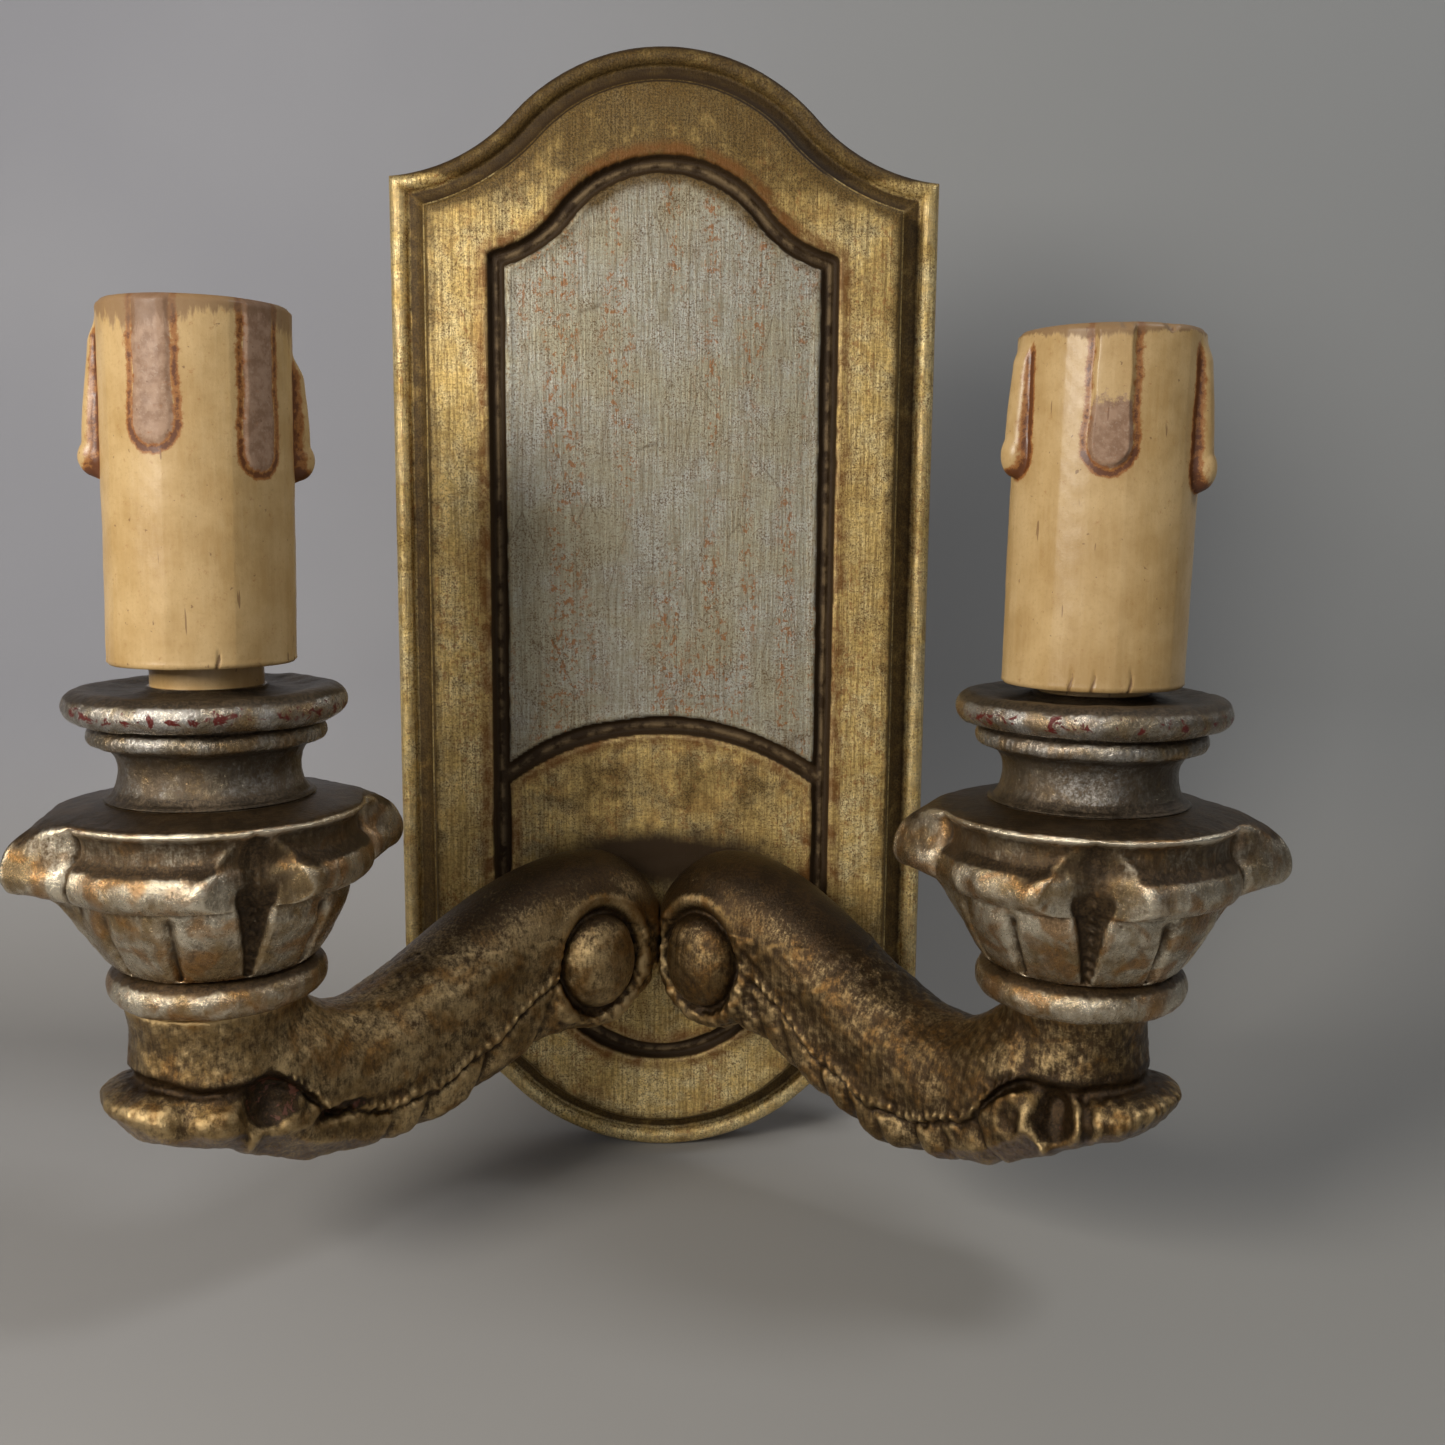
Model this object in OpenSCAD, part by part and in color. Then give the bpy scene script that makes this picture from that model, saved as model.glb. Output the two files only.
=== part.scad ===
// Two-arm wall sconce with electric candles: a gilded wooden backplate, two carved
// scroll arms, turned cups and drip pans, and painted wooden sleeves over lampholders.
// +Z is up, the wall is the plane y = 0, and the front faces -Y. The origin is the
// centre of the keyhole in the hanger plate. Shapes are written with heights above
// the lowest point of the backplate, and raised() moves them into place.

/* [Backplate] */
// Width across the shoulders
plate_w = 128.6; // [127:0.2:130]
// Height from the lower apex to the upper apex
plate_h = 266.3; // [264:0.1:268]
// Thickness at the raised field
plate_t = 18; // [17.5:0.5:19]
// Height of the domed top above the shoulders, and of the mirrored bottom
shoulder_drop = 29.4; // [28:0.2:31]
// Radius of the dome at the top
dome_r = 48.5; // [47:0.5:50]
// Radius of the rounded bottom
base_r = 53; // [51:0.5:54]
// Radius of the hollow flare between the dome and a shoulder
flare_r = 45; // [43:0.5:47]
// Thickness of the board under the moulding
board_t = 9; // [8:0.5:9.5]
// Width of the edge moulding
moulding_w = 9.7; // [9.3:0.1:10.2]

/* [Carved grooves] */
// Half width of the framing groove, at its outer edge
groove_half_w = 40.5; // [39:0.5:42]
// Distance of the groove's outer apex in from the plate's apex
groove_inset = 25.9; // [25:0.1:27]
// Width of every groove
groove_w = 4.2; // [3.6:0.1:4.6]
// Depth of every groove
groove_depth = 2.2; // [1.5:0.1:2.6]
// Radius along the middle of the arched groove across the field
arch_r = 62.6; // [60:0.2:65]
// Height of the arched groove's crown above the plate's lowest point
arch_crown = 109.5; // [107:0.5:112]

/* [Hanging and wiring] */
// Height of the hanging point above the plate's lowest point
hang_height = 225; // [220:1:228]
// Radius of the round part of the keyhole
keyhole_r = 4.5; // [4:0.1:4.8]
// Radius of the slot that grips the hook's shank
keyhole_slot_r = 2.1; // [1.8:0.1:2.3]
// Depth of the wiring recess
recess_d = 13.5; // [12.5:0.5:14]
// Radius of the hole drilled along each arm for the flex
wire_hole_r = 3.5; // [3.3:0.1:3.8]
// Radius of the round flex
flex_r = 1.8; // [1.5:0.1:2]

/* [Candles] */
// Distance of each candle's axis from the middle
candle_x = 84.25; // [83:0.25:86]
// Distance of each candle's axis from the wall
candle_y = 85; // [84:0.5:86]
// Outer radius of a sleeve
sleeve_r = 17; // [16.8:0.1:17.5]
// Length of a sleeve
sleeve_len = 65; // [63:0.5:68]
// Bore radius of a sleeve where it passes the lampholder
sleeve_bore_r = 12.6; // [12.5:0.1:12.8]
// Extra height of the left sleeve's seat
left_lift = 2.8; // [0:0.1:3]
// Turn of the left cup about its axis
left_cup_turn = 34; // [0:1:45]
// Turn of the right cup about its axis
right_cup_turn = -12; // [-45:1:0]

/* [Lampholder] */
// Outer radius of a lampholder
holder_r = 12; // [11.8:0.1:12.1]
// Clear radius of the screw shell
shell_r = 7; // [7:0.05:7.1]
// Outer radius of the threaded stem
stem_r = 5; // [4.8:0.1:5]

/* [Hidden] */
$fn = 64;

gold = [0.72, 0.58, 0.30];
aged_silver = [0.55, 0.47, 0.35];
painted_cream = [0.83, 0.66, 0.40];
steel = [0.62, 0.62, 0.63];
brass = [0.78, 0.62, 0.32];
bakelite = [0.10, 0.09, 0.08];
nylon = [0.90, 0.89, 0.85];

plate_mid = plate_h / 2;
arc_steps = 7;                  // steps along each arc of the plate's outline
bore_gap = 0.05;                // radial gap around a stem
neck_top = 66;                  // top of an arm's neck, and the seat of a cup
cup_top = 105.5;                // top of a cup, and the seat of a pan
pan_top = 126.5;                // top of a pan, and the seat of a collar
pan_recess = 5;                 // depth of the recess for the washer and nut
washer_t = 1;
nut_t = 3.2;
counterbore = 16;               // depth of the wide bore in the foot of a sleeve
counterbore_r = 13.45;
foot_gap = 1.4;                 // gap under the lower sleeve
holder_len = 42;
shell_low = 21.3;               // bottom of a shell above its lampholder's foot
shell_len = 19.5;
recess_half_w = 30;
recess_low = 40;
recess_high = 86;
leaf_r = 38;                    // reach of a leaf's tip from the cup's axis
cup_bore_r = 5.4;

function seat_lift(side) = side < 0 ? left_lift : 0;
function sleeve_low(side) = pan_top + foot_gap + seat_lift(side);
function collar_top(side) = sleeve_low(side) + counterbore;

// ---- outlines of the plate, as [x, height above the plate's middle] ----

// Centre of the flare that touches the dome and ends at the shoulder
function flare_centre(w, apex, shoulder, dome, flare) =
    let (low = [0, apex - dome], tip = [w, shoulder], span = norm(tip - low),
         reach = dome + flare, u = (tip - low) / span,
         along = (reach * reach - flare * flare + span * span) / (2 * span),
         out = sqrt(reach * reach - along * along))
    low + along * u + out * [-u[1], u[0]];

// Quarter outline from the apex to the shoulder, moved inwards by inset
function ogee(w, apex, shoulder, dome, flare, inset) =
    let (c = flare_centre(w, apex, shoulder, dome, flare), low = [0, apex - dome],
         turn = atan2(c[1] - low[1], c[0] - low[0]),
         r1 = dome - inset, r2 = flare + inset, x = w - inset,
         z = c[1] - sqrt(r2 * r2 - (x - c[0]) * (x - c[0])),
         last = atan2(z - c[1], x - c[0]))
    concat(
        [for (i = [0 : arc_steps]) let (a = 90 + (turn - 90) * i / arc_steps)
            low + r1 * [cos(a), sin(a)]],
        [for (i = [1 : arc_steps]) let (a = turn - 180 + (last - turn + 180) * i / arc_steps)
            c + r2 * [cos(a), sin(a)]]);

// Whole outline from its upper right quarter and the mirror image of its lower right quarter
function four_ways(up, low) =
    let (m = len(up) - 1)
    concat(up, [for (i = [m : -1 : 0]) [low[i][0], -low[i][1]]],
        [for (i = [1 : m]) [-low[i][0], -low[i][1]]], [for (i = [m : -1 : 1]) [-up[i][0], up[i][1]]]);

function plate_quarter(dome, inset) =
    ogee(plate_w / 2, plate_mid, plate_mid - shoulder_drop, dome, flare_r, inset);

function plate_outline(inset) = four_ways(plate_quarter(dome_r, inset), plate_quarter(base_r, inset));

groove_shoulder = 47.5;         // drop of the framing groove's corners below the plate's apex
groove_dome_r = 30.7;
groove_flare_r = 25;

function groove_outline(inset) =
    let (q = ogee(groove_half_w, plate_mid - groove_inset, plate_mid - groove_shoulder,
                  groove_dome_r, groove_flare_r, inset))
    four_ways(q, q);

// ---- meshes ----

// Closed skin over rings of points. capped closes both ends; if not, the last ring joins the first.
module ring_mesh(rings, capped) {
    n = len(rings[0]);
    count = len(rings);
    points = [for (ring = rings) each ring];
    last = capped ? count - 2 : count - 1;
    sides = [for (k = [0 : last]) for (i = [0 : n - 1])
        let (a = k * n + i, b = k * n + (i + 1) % n,
             c = ((k + 1) % count) * n + (i + 1) % n, d = ((k + 1) % count) * n + i)
        each [[a, b, c], [a, c, d]]];
    ends = capped ? [[for (i = [n - 1 : -1 : 0]) i], [for (i = [0 : n - 1]) (count - 1) * n + i]] : [];
    polyhedron(points = points, faces = concat(sides, ends), convexity = 8);
}

function between(a, b, c, d, t) =
    0.5 * (2 * b + (c - a) * t + (2 * a - 5 * b + 4 * c - d) * t * t
        + (3 * b - a - 3 * c + d) * t * t * t);

// Smooth run through the rows of a list, with steps places for each row
function smooth(rows, steps) =
    let (m = len(rows) - 1)
    concat([for (k = [0 : m - 1]) for (j = [0 : steps - 1])
        between(rows[max(k - 1, 0)], rows[k], rows[k + 1], rows[min(k + 2, m)], j / steps)],
        [rows[m]]);

// Rod of radius r from point a to point b
module rod(a, b, r) {
    v = b - a;
    translate(a) rotate([0, acos(v[2] / norm(v)), atan2(v[1], v[0])]) cylinder(r = r, h = norm(v));
}

// Shape drawn in the plane of the plate, given thickness from depth y0 to depth y1
module slab(y0, y1) translate([0, -y0, plate_mid]) rotate([90, 0, 0]) linear_extrude(y1 - y0) children();

module raised() translate([0, 0, -hang_height]) children();
module at_candle(side) translate([side * candle_x, -candle_y, 0]) children();
module on_side(side) mirror([side < 0 ? 1 : 0, 0, 0]) children();

// ---- backplate ----

bead_r = 1.7;                   // round lip along the outer edge
lip = 0.2;                      // set-back of the moulding from the board's edge
cove_r = 5.1;
moulding = concat(
    [[lip, board_t - 3]],
    [for (a = [180 : -36 : 0]) [lip + bead_r + bead_r * cos(a), board_t + 0.3 + bead_r * sin(a)]],
    [for (a = [270 : 18 : 360]) [moulding_w - 0.4 - cove_r + cove_r * cos(a),
        board_t + 1 + cove_r + cove_r * sin(a)]],
    [[moulding_w + 1.3, board_t + 1 + cove_r], [moulding_w + 1.3, board_t - 3]]);

// Moulded strip around the board: the section [inset, depth] carried along the outline
module edge_moulding() {
    rings = [for (m = moulding) [for (p = plate_outline(m[0])) [p[0], -m[1], plate_mid + p[1]]]];
    ring_mesh(rings, false);
}

module groove_cutter() {
    slab(plate_t - groove_depth, plate_t + 1) difference() {
        polygon(groove_outline(0));
        polygon(groove_outline(groove_w));
    }
    slab(plate_t - groove_depth, plate_t + 1) intersection() {
        polygon(groove_outline(groove_w / 2));
        translate([0, arch_crown - arch_r - plate_mid]) difference() {
            circle(r = arch_r + groove_w / 2, $fn = 120);
            circle(r = arch_r - groove_w / 2, $fn = 120);
        }
    }
}

flex_start = [9, -recess_d, 66];      // where the right flex leaves the recess
flex_corner = [candle_x, -candle_y, 44];    // where the drilled hole meets the neck's bore
arm_screw_x = 19;
arm_screw_heights = [53, 71];
hanger_screw_x = 15;

module backplate() color(gold) difference() {
    union() {
        slab(0, board_t) polygon(plate_outline(0));
        slab(0.5, plate_t) polygon(plate_outline(moulding_w));
        edge_moulding();
    }
    groove_cutter();
    translate([-recess_half_w, -recess_d, recess_low])
        cube([2 * recess_half_w, recess_d + 1, recess_high - recess_low]);
    for (side = [-1, 1]) on_side(side) {
        rod(flex_start - 4 * arm_drill, flex_start + 12 * arm_drill, wire_hole_r);
        for (z = arm_screw_heights)
            translate([arm_screw_x, 1 - recess_d, z]) rotate([90, 0, 0]) cylinder(r = 2.1, h = 8);
        translate([hanger_screw_x, 1, hang_height]) rotate([90, 0, 0]) cylinder(r = 1.5, h = 14);
    }
    translate([0, 1 - recess_d, 50]) rotate([90, 0, 0]) cylinder(r = 1.25, h = 4);
    // seat of the hanger plate, and the room for the hook's head behind it
    translate([-21, -1.6, hang_height - 8]) cube([42, 3, 22]);
    translate([0, 1, hang_height]) rotate([90, 0, 0]) cylinder(r = 6.5, h = 9);
    translate([-6.5, -8, hang_height]) cube([13, 9, 8]);
}

// ---- hanging and wiring ----

module hanger_plate() color(steel) difference() {
    translate([-20.7, -1.5, hang_height - 7.7]) cube([41.4, 1.5, 21.4]);
    translate([0, 1, hang_height]) rotate([90, 0, 0]) cylinder(r = keyhole_r, h = 4);
    translate([-keyhole_slot_r, -3, hang_height]) cube([2 * keyhole_slot_r, 4, 8]);
    translate([0, 1, hang_height + 8]) rotate([90, 0, 0]) cylinder(r = keyhole_slot_r, h = 4);
    for (side = [-1, 1]) translate([side * hanger_screw_x, 0, hang_height]) rotate([90, 0, 0]) {
        translate([0, 0, -1]) cylinder(r = 1.7, h = 4);
        translate([0, 0, -0.2]) cylinder(r1 = 3.1, r2 = 1.7, h = 1.5);
    }
}

// Countersunk wood screw pointing along -Y, with the flush top of its head at the origin
module wood_screw(r, len, head_r) rotate([90, 0, 0]) difference() {
    rotate_extrude() polygon([[0, 0.1], [head_r, 0.1], [r, 0.1 + head_r - r],
        [r, len - 2 * r], [0, len]]);
    translate([-head_r, -0.3, -1]) cube([2 * head_r, 0.6, 1.5]);
}

// Round-headed screw pointing along -Y, with the underside of its head at the origin
module round_screw(r, len, head_r, head_t) rotate([90, 0, 0]) difference() {
    rotate_extrude() polygon([[0, -head_t], [head_r - 0.5, -head_t], [head_r, 0.5 - head_t],
        [head_r, 0], [r, 0], [r, len - r], [0, len]]);
    translate([-head_r, -0.4, -head_t - 1]) cube([2 * head_r, 0.8, 1.8]);
}

module hanger_screws() color(steel) for (side = [-1, 1])
    translate([side * hanger_screw_x, 0, hang_height]) wood_screw(1.45, 12, 2.6);

block_half_w = 13;
block_low = 44;
block_high = 56;
block_d = 10;

module terminal_block() color(nylon) difference() {
    translate([-block_half_w, -recess_d, block_low]) cube([2 * block_half_w, block_d, block_high - block_low]);
    for (x = [-8, 8]) for (z = [47, 53])
        translate([x, 1 - recess_d + block_d, z]) rotate([90, 0, 0]) cylinder(r = 2, h = 6);
    for (x = [-8, 8])
        translate([x, 4.5 - recess_d, block_low - 1]) cylinder(r = 2.1, h = block_high - block_low + 2);
    translate([0, 1 - recess_d + block_d, 50]) rotate([90, 0, 0]) cylinder(r = 1.7, h = 20);
}

module terminal_screws() color(brass) for (x = [-8, 8]) for (z = [47, 53])
    translate([x, block_d - recess_d - 0.3, z]) rotate([90, 0, 0]) difference() {
        cylinder(r = 1.8, h = 2.8);
        translate([-2, -0.3, -1]) cube([4, 0.6, 1.7]);
    }

module block_screw() color(steel)
    translate([0, block_d - recess_d, 50]) round_screw(1.2, block_d + 2.5, 2.6, 1.2);

module arm_screws() color(steel) for (side = [-1, 1]) for (z = arm_screw_heights)
    translate([side * arm_screw_x, -recess_d, z]) round_screw(2, 28, 4, 2);

flex_lead = [[8, 4.5 - recess_d, 57], [8, 4.7 - recess_d, 61], [8.3, 2.5 - recess_d, 64.6]];
arm_drill = (flex_corner - flex_start) / norm(flex_corner - flex_start);

// Route of the right flex: out of the terminal block, along the drilled arm, and up the stem
function flex_route() = concat(flex_lead,
    [for (t = [3 : 10 : 93]) flex_start + t * arm_drill],
    [[candle_x - 6, 5.7 - candle_y, 45.5], [candle_x - 1.6, 1.5 - candle_y, 46.2],
     [candle_x, -candle_y, 49.5]],
    [for (z = [58 : 10 : collar_top(1)]) [candle_x, -candle_y, z]],
    [[candle_x, -candle_y, collar_top(1) + 9]]);

function unit(v) = v / norm(v);

// Eight-sided tube along a route, its rings set square to the route
module tube_along(route, r, side_dir) {
    m = len(route) - 1;
    rings = [for (k = [0 : m])
        let (t = unit(route[min(k + 1, m)] - route[max(k - 1, 0)]),
             u = unit(side_dir - (side_dir * t) * t), v = cross(u, t))
        [for (i = [0 : 7]) route[k] + r * (cos(45 * i) * u + sin(45 * i) * v)]];
    ring_mesh(rings, true);
}

module flex(side) color(bakelite) on_side(side)
    tube_along(flex_route(), flex_r, [candle_y, candle_x, 0] / norm([candle_y, candle_x]));

// ---- arms ----

arm_root = [6, -18];            // where the arm's middle plane meets the field, in plan
// Along the arm from its root: distance, middle height, half height, half width
arm_stations = [[-6, 57.5, 4, 6], [-3, 58, 9, 9], [2, 59.5, 15.5, 12], [10, 61, 19.3, 13],
    [20, 62, 19, 13], [30, 60, 19, 12.5], [40, 55.5, 19.5, 12.3], [50, 50.5, 19, 12.3],
    [60, 45.5, 18, 12.5], [70, 42.5, 15.8, 12.8], [79, 42.2, 14.8, 13.3], [88, 45.2, 16, 14.5],
    [95, 46.5, 14.5, 15.6], [104, 46, 9, 16.8], [114, 47.8, 7.8, 14.5], [120, 49, 7, 10.5],
    [124, 49.5, 4.2, 5]];
arm_bow = 2;                    // the left arm's middle run sits this much higher, the right one's lower
arm_swell = 0.8;                // extra half height of the left arm's middle run
run_start = 15;                 // where an arm's middle run starts and ends
run_end = 105;
arm_sides = 24;

// From 0 at the ends of the middle run to 1 halfway along it
function mid_run(s) = pow(sin(180 * min(max((s - run_start) / (run_end - run_start), 0), 1)), 2);

module arm_body(side) {
    dir = unit([candle_x, -candle_y] - arm_root);
    rings = [for (s = smooth(arm_stations, 3))
        let (mid = arm_root + s[0] * dir, z = s[1] - side * arm_bow * mid_run(s[0]),
             half_h = s[2] + (side < 0 ? arm_swell * mid_run(s[0]) : 0))
        [for (i = [0 : arm_sides - 1]) let (a = 360 * i / arm_sides, q = s[3] * cos(a))
            [mid[0] + dir[1] * q, mid[1] - dir[0] * q, z + half_h * sin(a)]]];
    ring_mesh(rings, true);
}

module arm(side) color(aged_silver) on_side(side) difference() {
    union() {
        arm_body(side);
        at_candle(1) rotate_extrude() polygon([[0, 45], [16.2, 45], [15.3, 50], [14.4, 56],
            [14.2, 61], [14.6, neck_top], [0, neck_top]]);
    }
    translate([-30, -plate_t, 0]) cube([80, 30, 120]);
    translate([-29.85, -60, 0]) cube([30, 60, 120]);
    rod(flex_start, flex_corner, wire_hole_r);
    at_candle(1) translate([0, 0, flex_corner[2] - wire_hole_r]) cylinder(r = stem_r + bore_gap, h = 40);
    for (z = arm_screw_heights)
        translate([arm_screw_x, 1 - plate_t, z]) rotate([90, 0, 0]) cylinder(r = 2.05, h = 25);
}

// ---- cups and pans ----

leaf_half_angle = 17;           // two leaves, opposite each other
notch_half_angle = 14;          // two notches, midway between the leaves
// Sections as [radius, height], paired point by point: plain, through a leaf, and through a notch
plain_side = [[28.35, 103.1], [27.9, 101.6], [28.4, 98.5], [28.9, 95], [28.7, 91], [27.7, 88.2],
    [25.8, 86.7], [23.6, 83], [21, 78.6], [18.8, 74.4]];
leaf_side = [[28.35, 103.1], [29.6, 102], [33, 100.6], [36.5, 98], [leaf_r, 94.4], [37.4, 90.8],
    [33.5, 89.8], [27.4, 86.2], [22.4, 79.4], [19, 74.4]];
notch_side = [[28.35, 103.1], [27, 101.6], [26.4, 98.5], [26.2, 95], [26, 91], [25.6, 88.2],
    [24.2, 86.2], [22.2, 82.6], [20.2, 78.4], [18.7, 74.4]];
torus_mid = 69.8;
torus_r = 3.75;

// Section of a cup: w is how much of a leaf shows or, if it is negative, how much of a notch
function cup_section(w) = let (other = w < 0 ? notch_side : leaf_side, share = abs(w)) concat(
    [[cup_bore_r, cup_top], [18.6, cup_top], [19.4, 104.7], [27.4, 104]],
    [for (k = [0 : len(plain_side) - 1]) (1 - share) * plain_side[k] + share * other[k]],
    [for (a = [80 : -32 : -80]) [20.4 - torus_r + torus_r * cos(a), torus_mid + torus_r * sin(a)]],
    [[14, neck_top], [cup_bore_r, neck_top]]);

function cup_weight(a) =
    let (off = abs(((a + 450) % 180) - 90))
    off < leaf_half_angle ? pow(cos(90 * off / leaf_half_angle), 1.4)
        : off > 90 - notch_half_angle ? -cos(90 * (90 - off) / notch_half_angle) : 0;

module cup(side) color(aged_silver) at_candle(side) rotate([0, 0, side < 0 ? left_cup_turn : right_cup_turn]) {
    sections = [for (i = [0 : 63]) cup_section(cup_weight(i * 360 / 64))];
    rings = [for (k = [0 : len(sections[0]) - 1])
        [for (i = [0 : 63]) let (p = sections[i][k], a = i * 360 / 64)
            [p[0] * cos(a), p[0] * sin(a), p[1]]]];
    ring_mesh(rings, false);
}

module pan(side) color(aged_silver) at_candle(side) rotate_extrude() polygon(concat(
    [[cup_bore_r, cup_top], [18.4, cup_top], [18.2, 107]],
    [for (a = [240 : -20 : 120]) [20.6 + 3.9 * cos(a), 110.9 + 3.9 * sin(a)]],
    [[21, 115.8], [21.9, 117], [21.7, 118.6], [21, 119.6]],
    [for (a = [-75 : 25 : 75]) [22.4 + 3.5 * cos(a), 123 + 3.5 * sin(a)]],
    [[9, pan_top], [9, pan_top - pan_recess], [cup_bore_r, pan_top - pan_recess]]));

// ---- candle fittings ----

module tube(low, high, r, bore) translate([0, 0, low]) difference() {
    cylinder(r = r, h = high - low);
    translate([0, 0, -1]) cylinder(r = bore, h = high - low + 2);
}

module stem(side) color(brass) at_candle(side) tube(50, collar_top(side) + 9.5, stem_r, 3.5);

module washer(side) color(steel) at_candle(side)
    tube(pan_top - pan_recess, pan_top - pan_recess + washer_t, 8.6, stem_r + 0.2);

module nut(side) color(brass) at_candle(side)
    translate([0, 0, pan_top - pan_recess + washer_t]) difference() {
        cylinder(r = 7.9, h = nut_t, $fn = 6);
        translate([0, 0, -1]) cylinder(r = stem_r + bore_gap, h = nut_t + 2);
    }

// Painted plug that the sleeve slips over and its inner ledge sits on
module collar(side) color(painted_cream) at_candle(side) rotate_extrude() polygon([
    [stem_r + 0.3, pan_top], [10.3, pan_top], [10.3, pan_top + 5.6 + seat_lift(side)],
    [13.1, pan_top + 6.4 + seat_lift(side)], [13.1, collar_top(side)],
    [stem_r + 0.3, collar_top(side)]]);

module holder(side) color(bakelite) at_candle(side) translate([0, 0, collar_top(side)]) difference() {
    rotate_extrude() polygon([[stem_r + bore_gap, 0], [holder_r, 0], [holder_r, 41], [11, holder_len],
        [7.5, holder_len], [7.5, 41], [8, 41], [8, 18], [1.8, 18], [1.8, 15], [6.5, 15],
        [6.5, 10], [stem_r + bore_gap, 10]]);
    translate([0, 0, 5]) rotate([90, 0, 0]) cylinder(r = 1.55, h = 20);
}

module lock_screw(side) color(steel) at_candle(side)
    translate([0, -5.2, collar_top(side) + 5]) rotate([90, 0, 0]) cylinder(r = 1.5, h = 5.6);

module shell(side) color(brass) at_candle(side)
    tube(collar_top(side) + shell_low, collar_top(side) + shell_low + shell_len, 7.9, shell_r);

// Spring-loaded button that the lamp's tip presses down
module contact(side) color(brass) at_candle(side) translate([0, 0, collar_top(side)])
    rotate_extrude() polygon([[0, 13.8], [2.6, 13.8], [2.6, 14.6], [1.4, 14.6], [1.4, 19.4],
        [3, 19.4], [3, 20.4], [2.2, 21], [0, 21]]);

// Angle from the front towards the right, length below the rim, and how far it stands proud
drips_left = [[-76, 32, 4], [-8, 24, 2.4], [57, 28, 2.4], [110, 31, 4], [172, 26, 3], [228, 30, 3.4]];
drips_right = [[-88, 26, 3.8], [-13, 25, 2.4], [66, 29, 3.8], [126, 24, 3], [192, 30, 3.2]];

// Run of wax with a rounded bead at its lower end
module drip(length, proud) {
    half_w = 3.4;
    shaft = sleeve_r + proud / 2 - half_w;
    translate([0, -shaft, sleeve_len - length + half_w]) cylinder(r = half_w, h = length - 2 * half_w, $fn = 32);
    translate([0, -shaft, sleeve_len - half_w]) sphere(r = half_w, $fn = 32);
    translate([0, half_w + 0.2 - sleeve_r - proud, sleeve_len - length + half_w])
        sphere(r = half_w + 0.2, $fn = 32);
}

module sleeve(side) color(painted_cream) at_candle(side) translate([0, 0, sleeve_low(side)]) difference() {
    union() {
        cylinder(r = sleeve_r, h = sleeve_len);
        for (d = side < 0 ? drips_left : drips_right) rotate([0, 0, d[0]]) drip(d[1], d[2]);
    }
    translate([0, 0, -1]) cylinder(r = sleeve_bore_r, h = sleeve_len + 2);
    translate([0, 0, -1]) cylinder(r = counterbore_r, h = counterbore + 1);
}

raised() backplate();
raised() hanger_plate();
raised() hanger_screws();
raised() terminal_block();
raised() terminal_screws();
raised() block_screw();
raised() arm_screws();
raised() arm(-1);  // arm_left
raised() arm(1);  // arm_right
raised() cup(-1);  // cup_left
raised() cup(1);  // cup_right
raised() pan(-1);  // pan_left
raised() pan(1);  // pan_right
raised() stem(-1);  // stem_left
raised() stem(1);  // stem_right
raised() washer(-1);  // washer_left
raised() washer(1);  // washer_right
raised() nut(-1);  // nut_left
raised() nut(1);  // nut_right
raised() collar(-1);  // collar_left
raised() collar(1);  // collar_right
raised() holder(-1);  // holder_left
raised() holder(1);  // holder_right
raised() lock_screw(-1);  // lock_screw_left
raised() lock_screw(1);  // lock_screw_right
raised() shell(-1);  // shell_left
raised() shell(1);  // shell_right
raised() contact(-1);  // contact_left
raised() contact(1);  // contact_right
raised() flex(-1);  // flex_left
raised() flex(1);  // flex_right
raised() sleeve(-1);  // sleeve_left
raised() sleeve(1);  // sleeve_right
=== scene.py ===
import math

import bpy
import numpy as np
from mathutils import Matrix, Vector


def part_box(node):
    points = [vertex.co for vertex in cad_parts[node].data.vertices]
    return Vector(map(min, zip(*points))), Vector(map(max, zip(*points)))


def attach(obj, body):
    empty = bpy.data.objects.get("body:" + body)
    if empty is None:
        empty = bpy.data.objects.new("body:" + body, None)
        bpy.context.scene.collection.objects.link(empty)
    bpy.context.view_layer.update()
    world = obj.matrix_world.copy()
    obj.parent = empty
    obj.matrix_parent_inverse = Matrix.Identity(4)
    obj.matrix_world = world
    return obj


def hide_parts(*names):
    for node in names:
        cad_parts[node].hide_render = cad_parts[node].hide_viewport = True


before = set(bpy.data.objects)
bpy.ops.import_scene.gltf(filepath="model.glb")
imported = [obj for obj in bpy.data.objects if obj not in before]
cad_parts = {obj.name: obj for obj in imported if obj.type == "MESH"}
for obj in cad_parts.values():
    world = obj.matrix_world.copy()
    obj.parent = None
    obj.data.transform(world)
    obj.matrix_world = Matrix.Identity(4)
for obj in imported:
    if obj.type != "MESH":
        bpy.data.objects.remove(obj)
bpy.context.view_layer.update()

# Shapes are worked out in millimetres, with heights above the plate's lowest point.
MM = 0.001
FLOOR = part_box("backplate")[0].z
SIDES = {"left": -1, "right": 1}


def box_mm(node):
    """Lowest and highest corner of a CAD node in millimetres, as heights above the plate's lowest point."""
    low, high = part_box(node)
    shift = np.array([0, 0, FLOOR])
    return (np.array(low) - shift) / MM, (np.array(high) - shift) / MM


# ---------------------------------------------------------------- numbers and curves

def ramp(x, low, high):
    """Smooth rise from 0 at low to 1 at high."""
    t = np.clip((x - low) / (high - low), 0, 1)
    return t * t * (3 - 2 * t)


def hump(x, centre, half):
    """Smooth hump of height 1, whose half width at a third of its height is half."""
    return np.exp(-((x - centre) / half) ** 2)


def smooth_min(a, b, k):
    h = np.clip(0.5 + 0.5 * (b - a) / k, 0, 1)
    return b + (a - b) * h - k * h * (1 - h)


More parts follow.
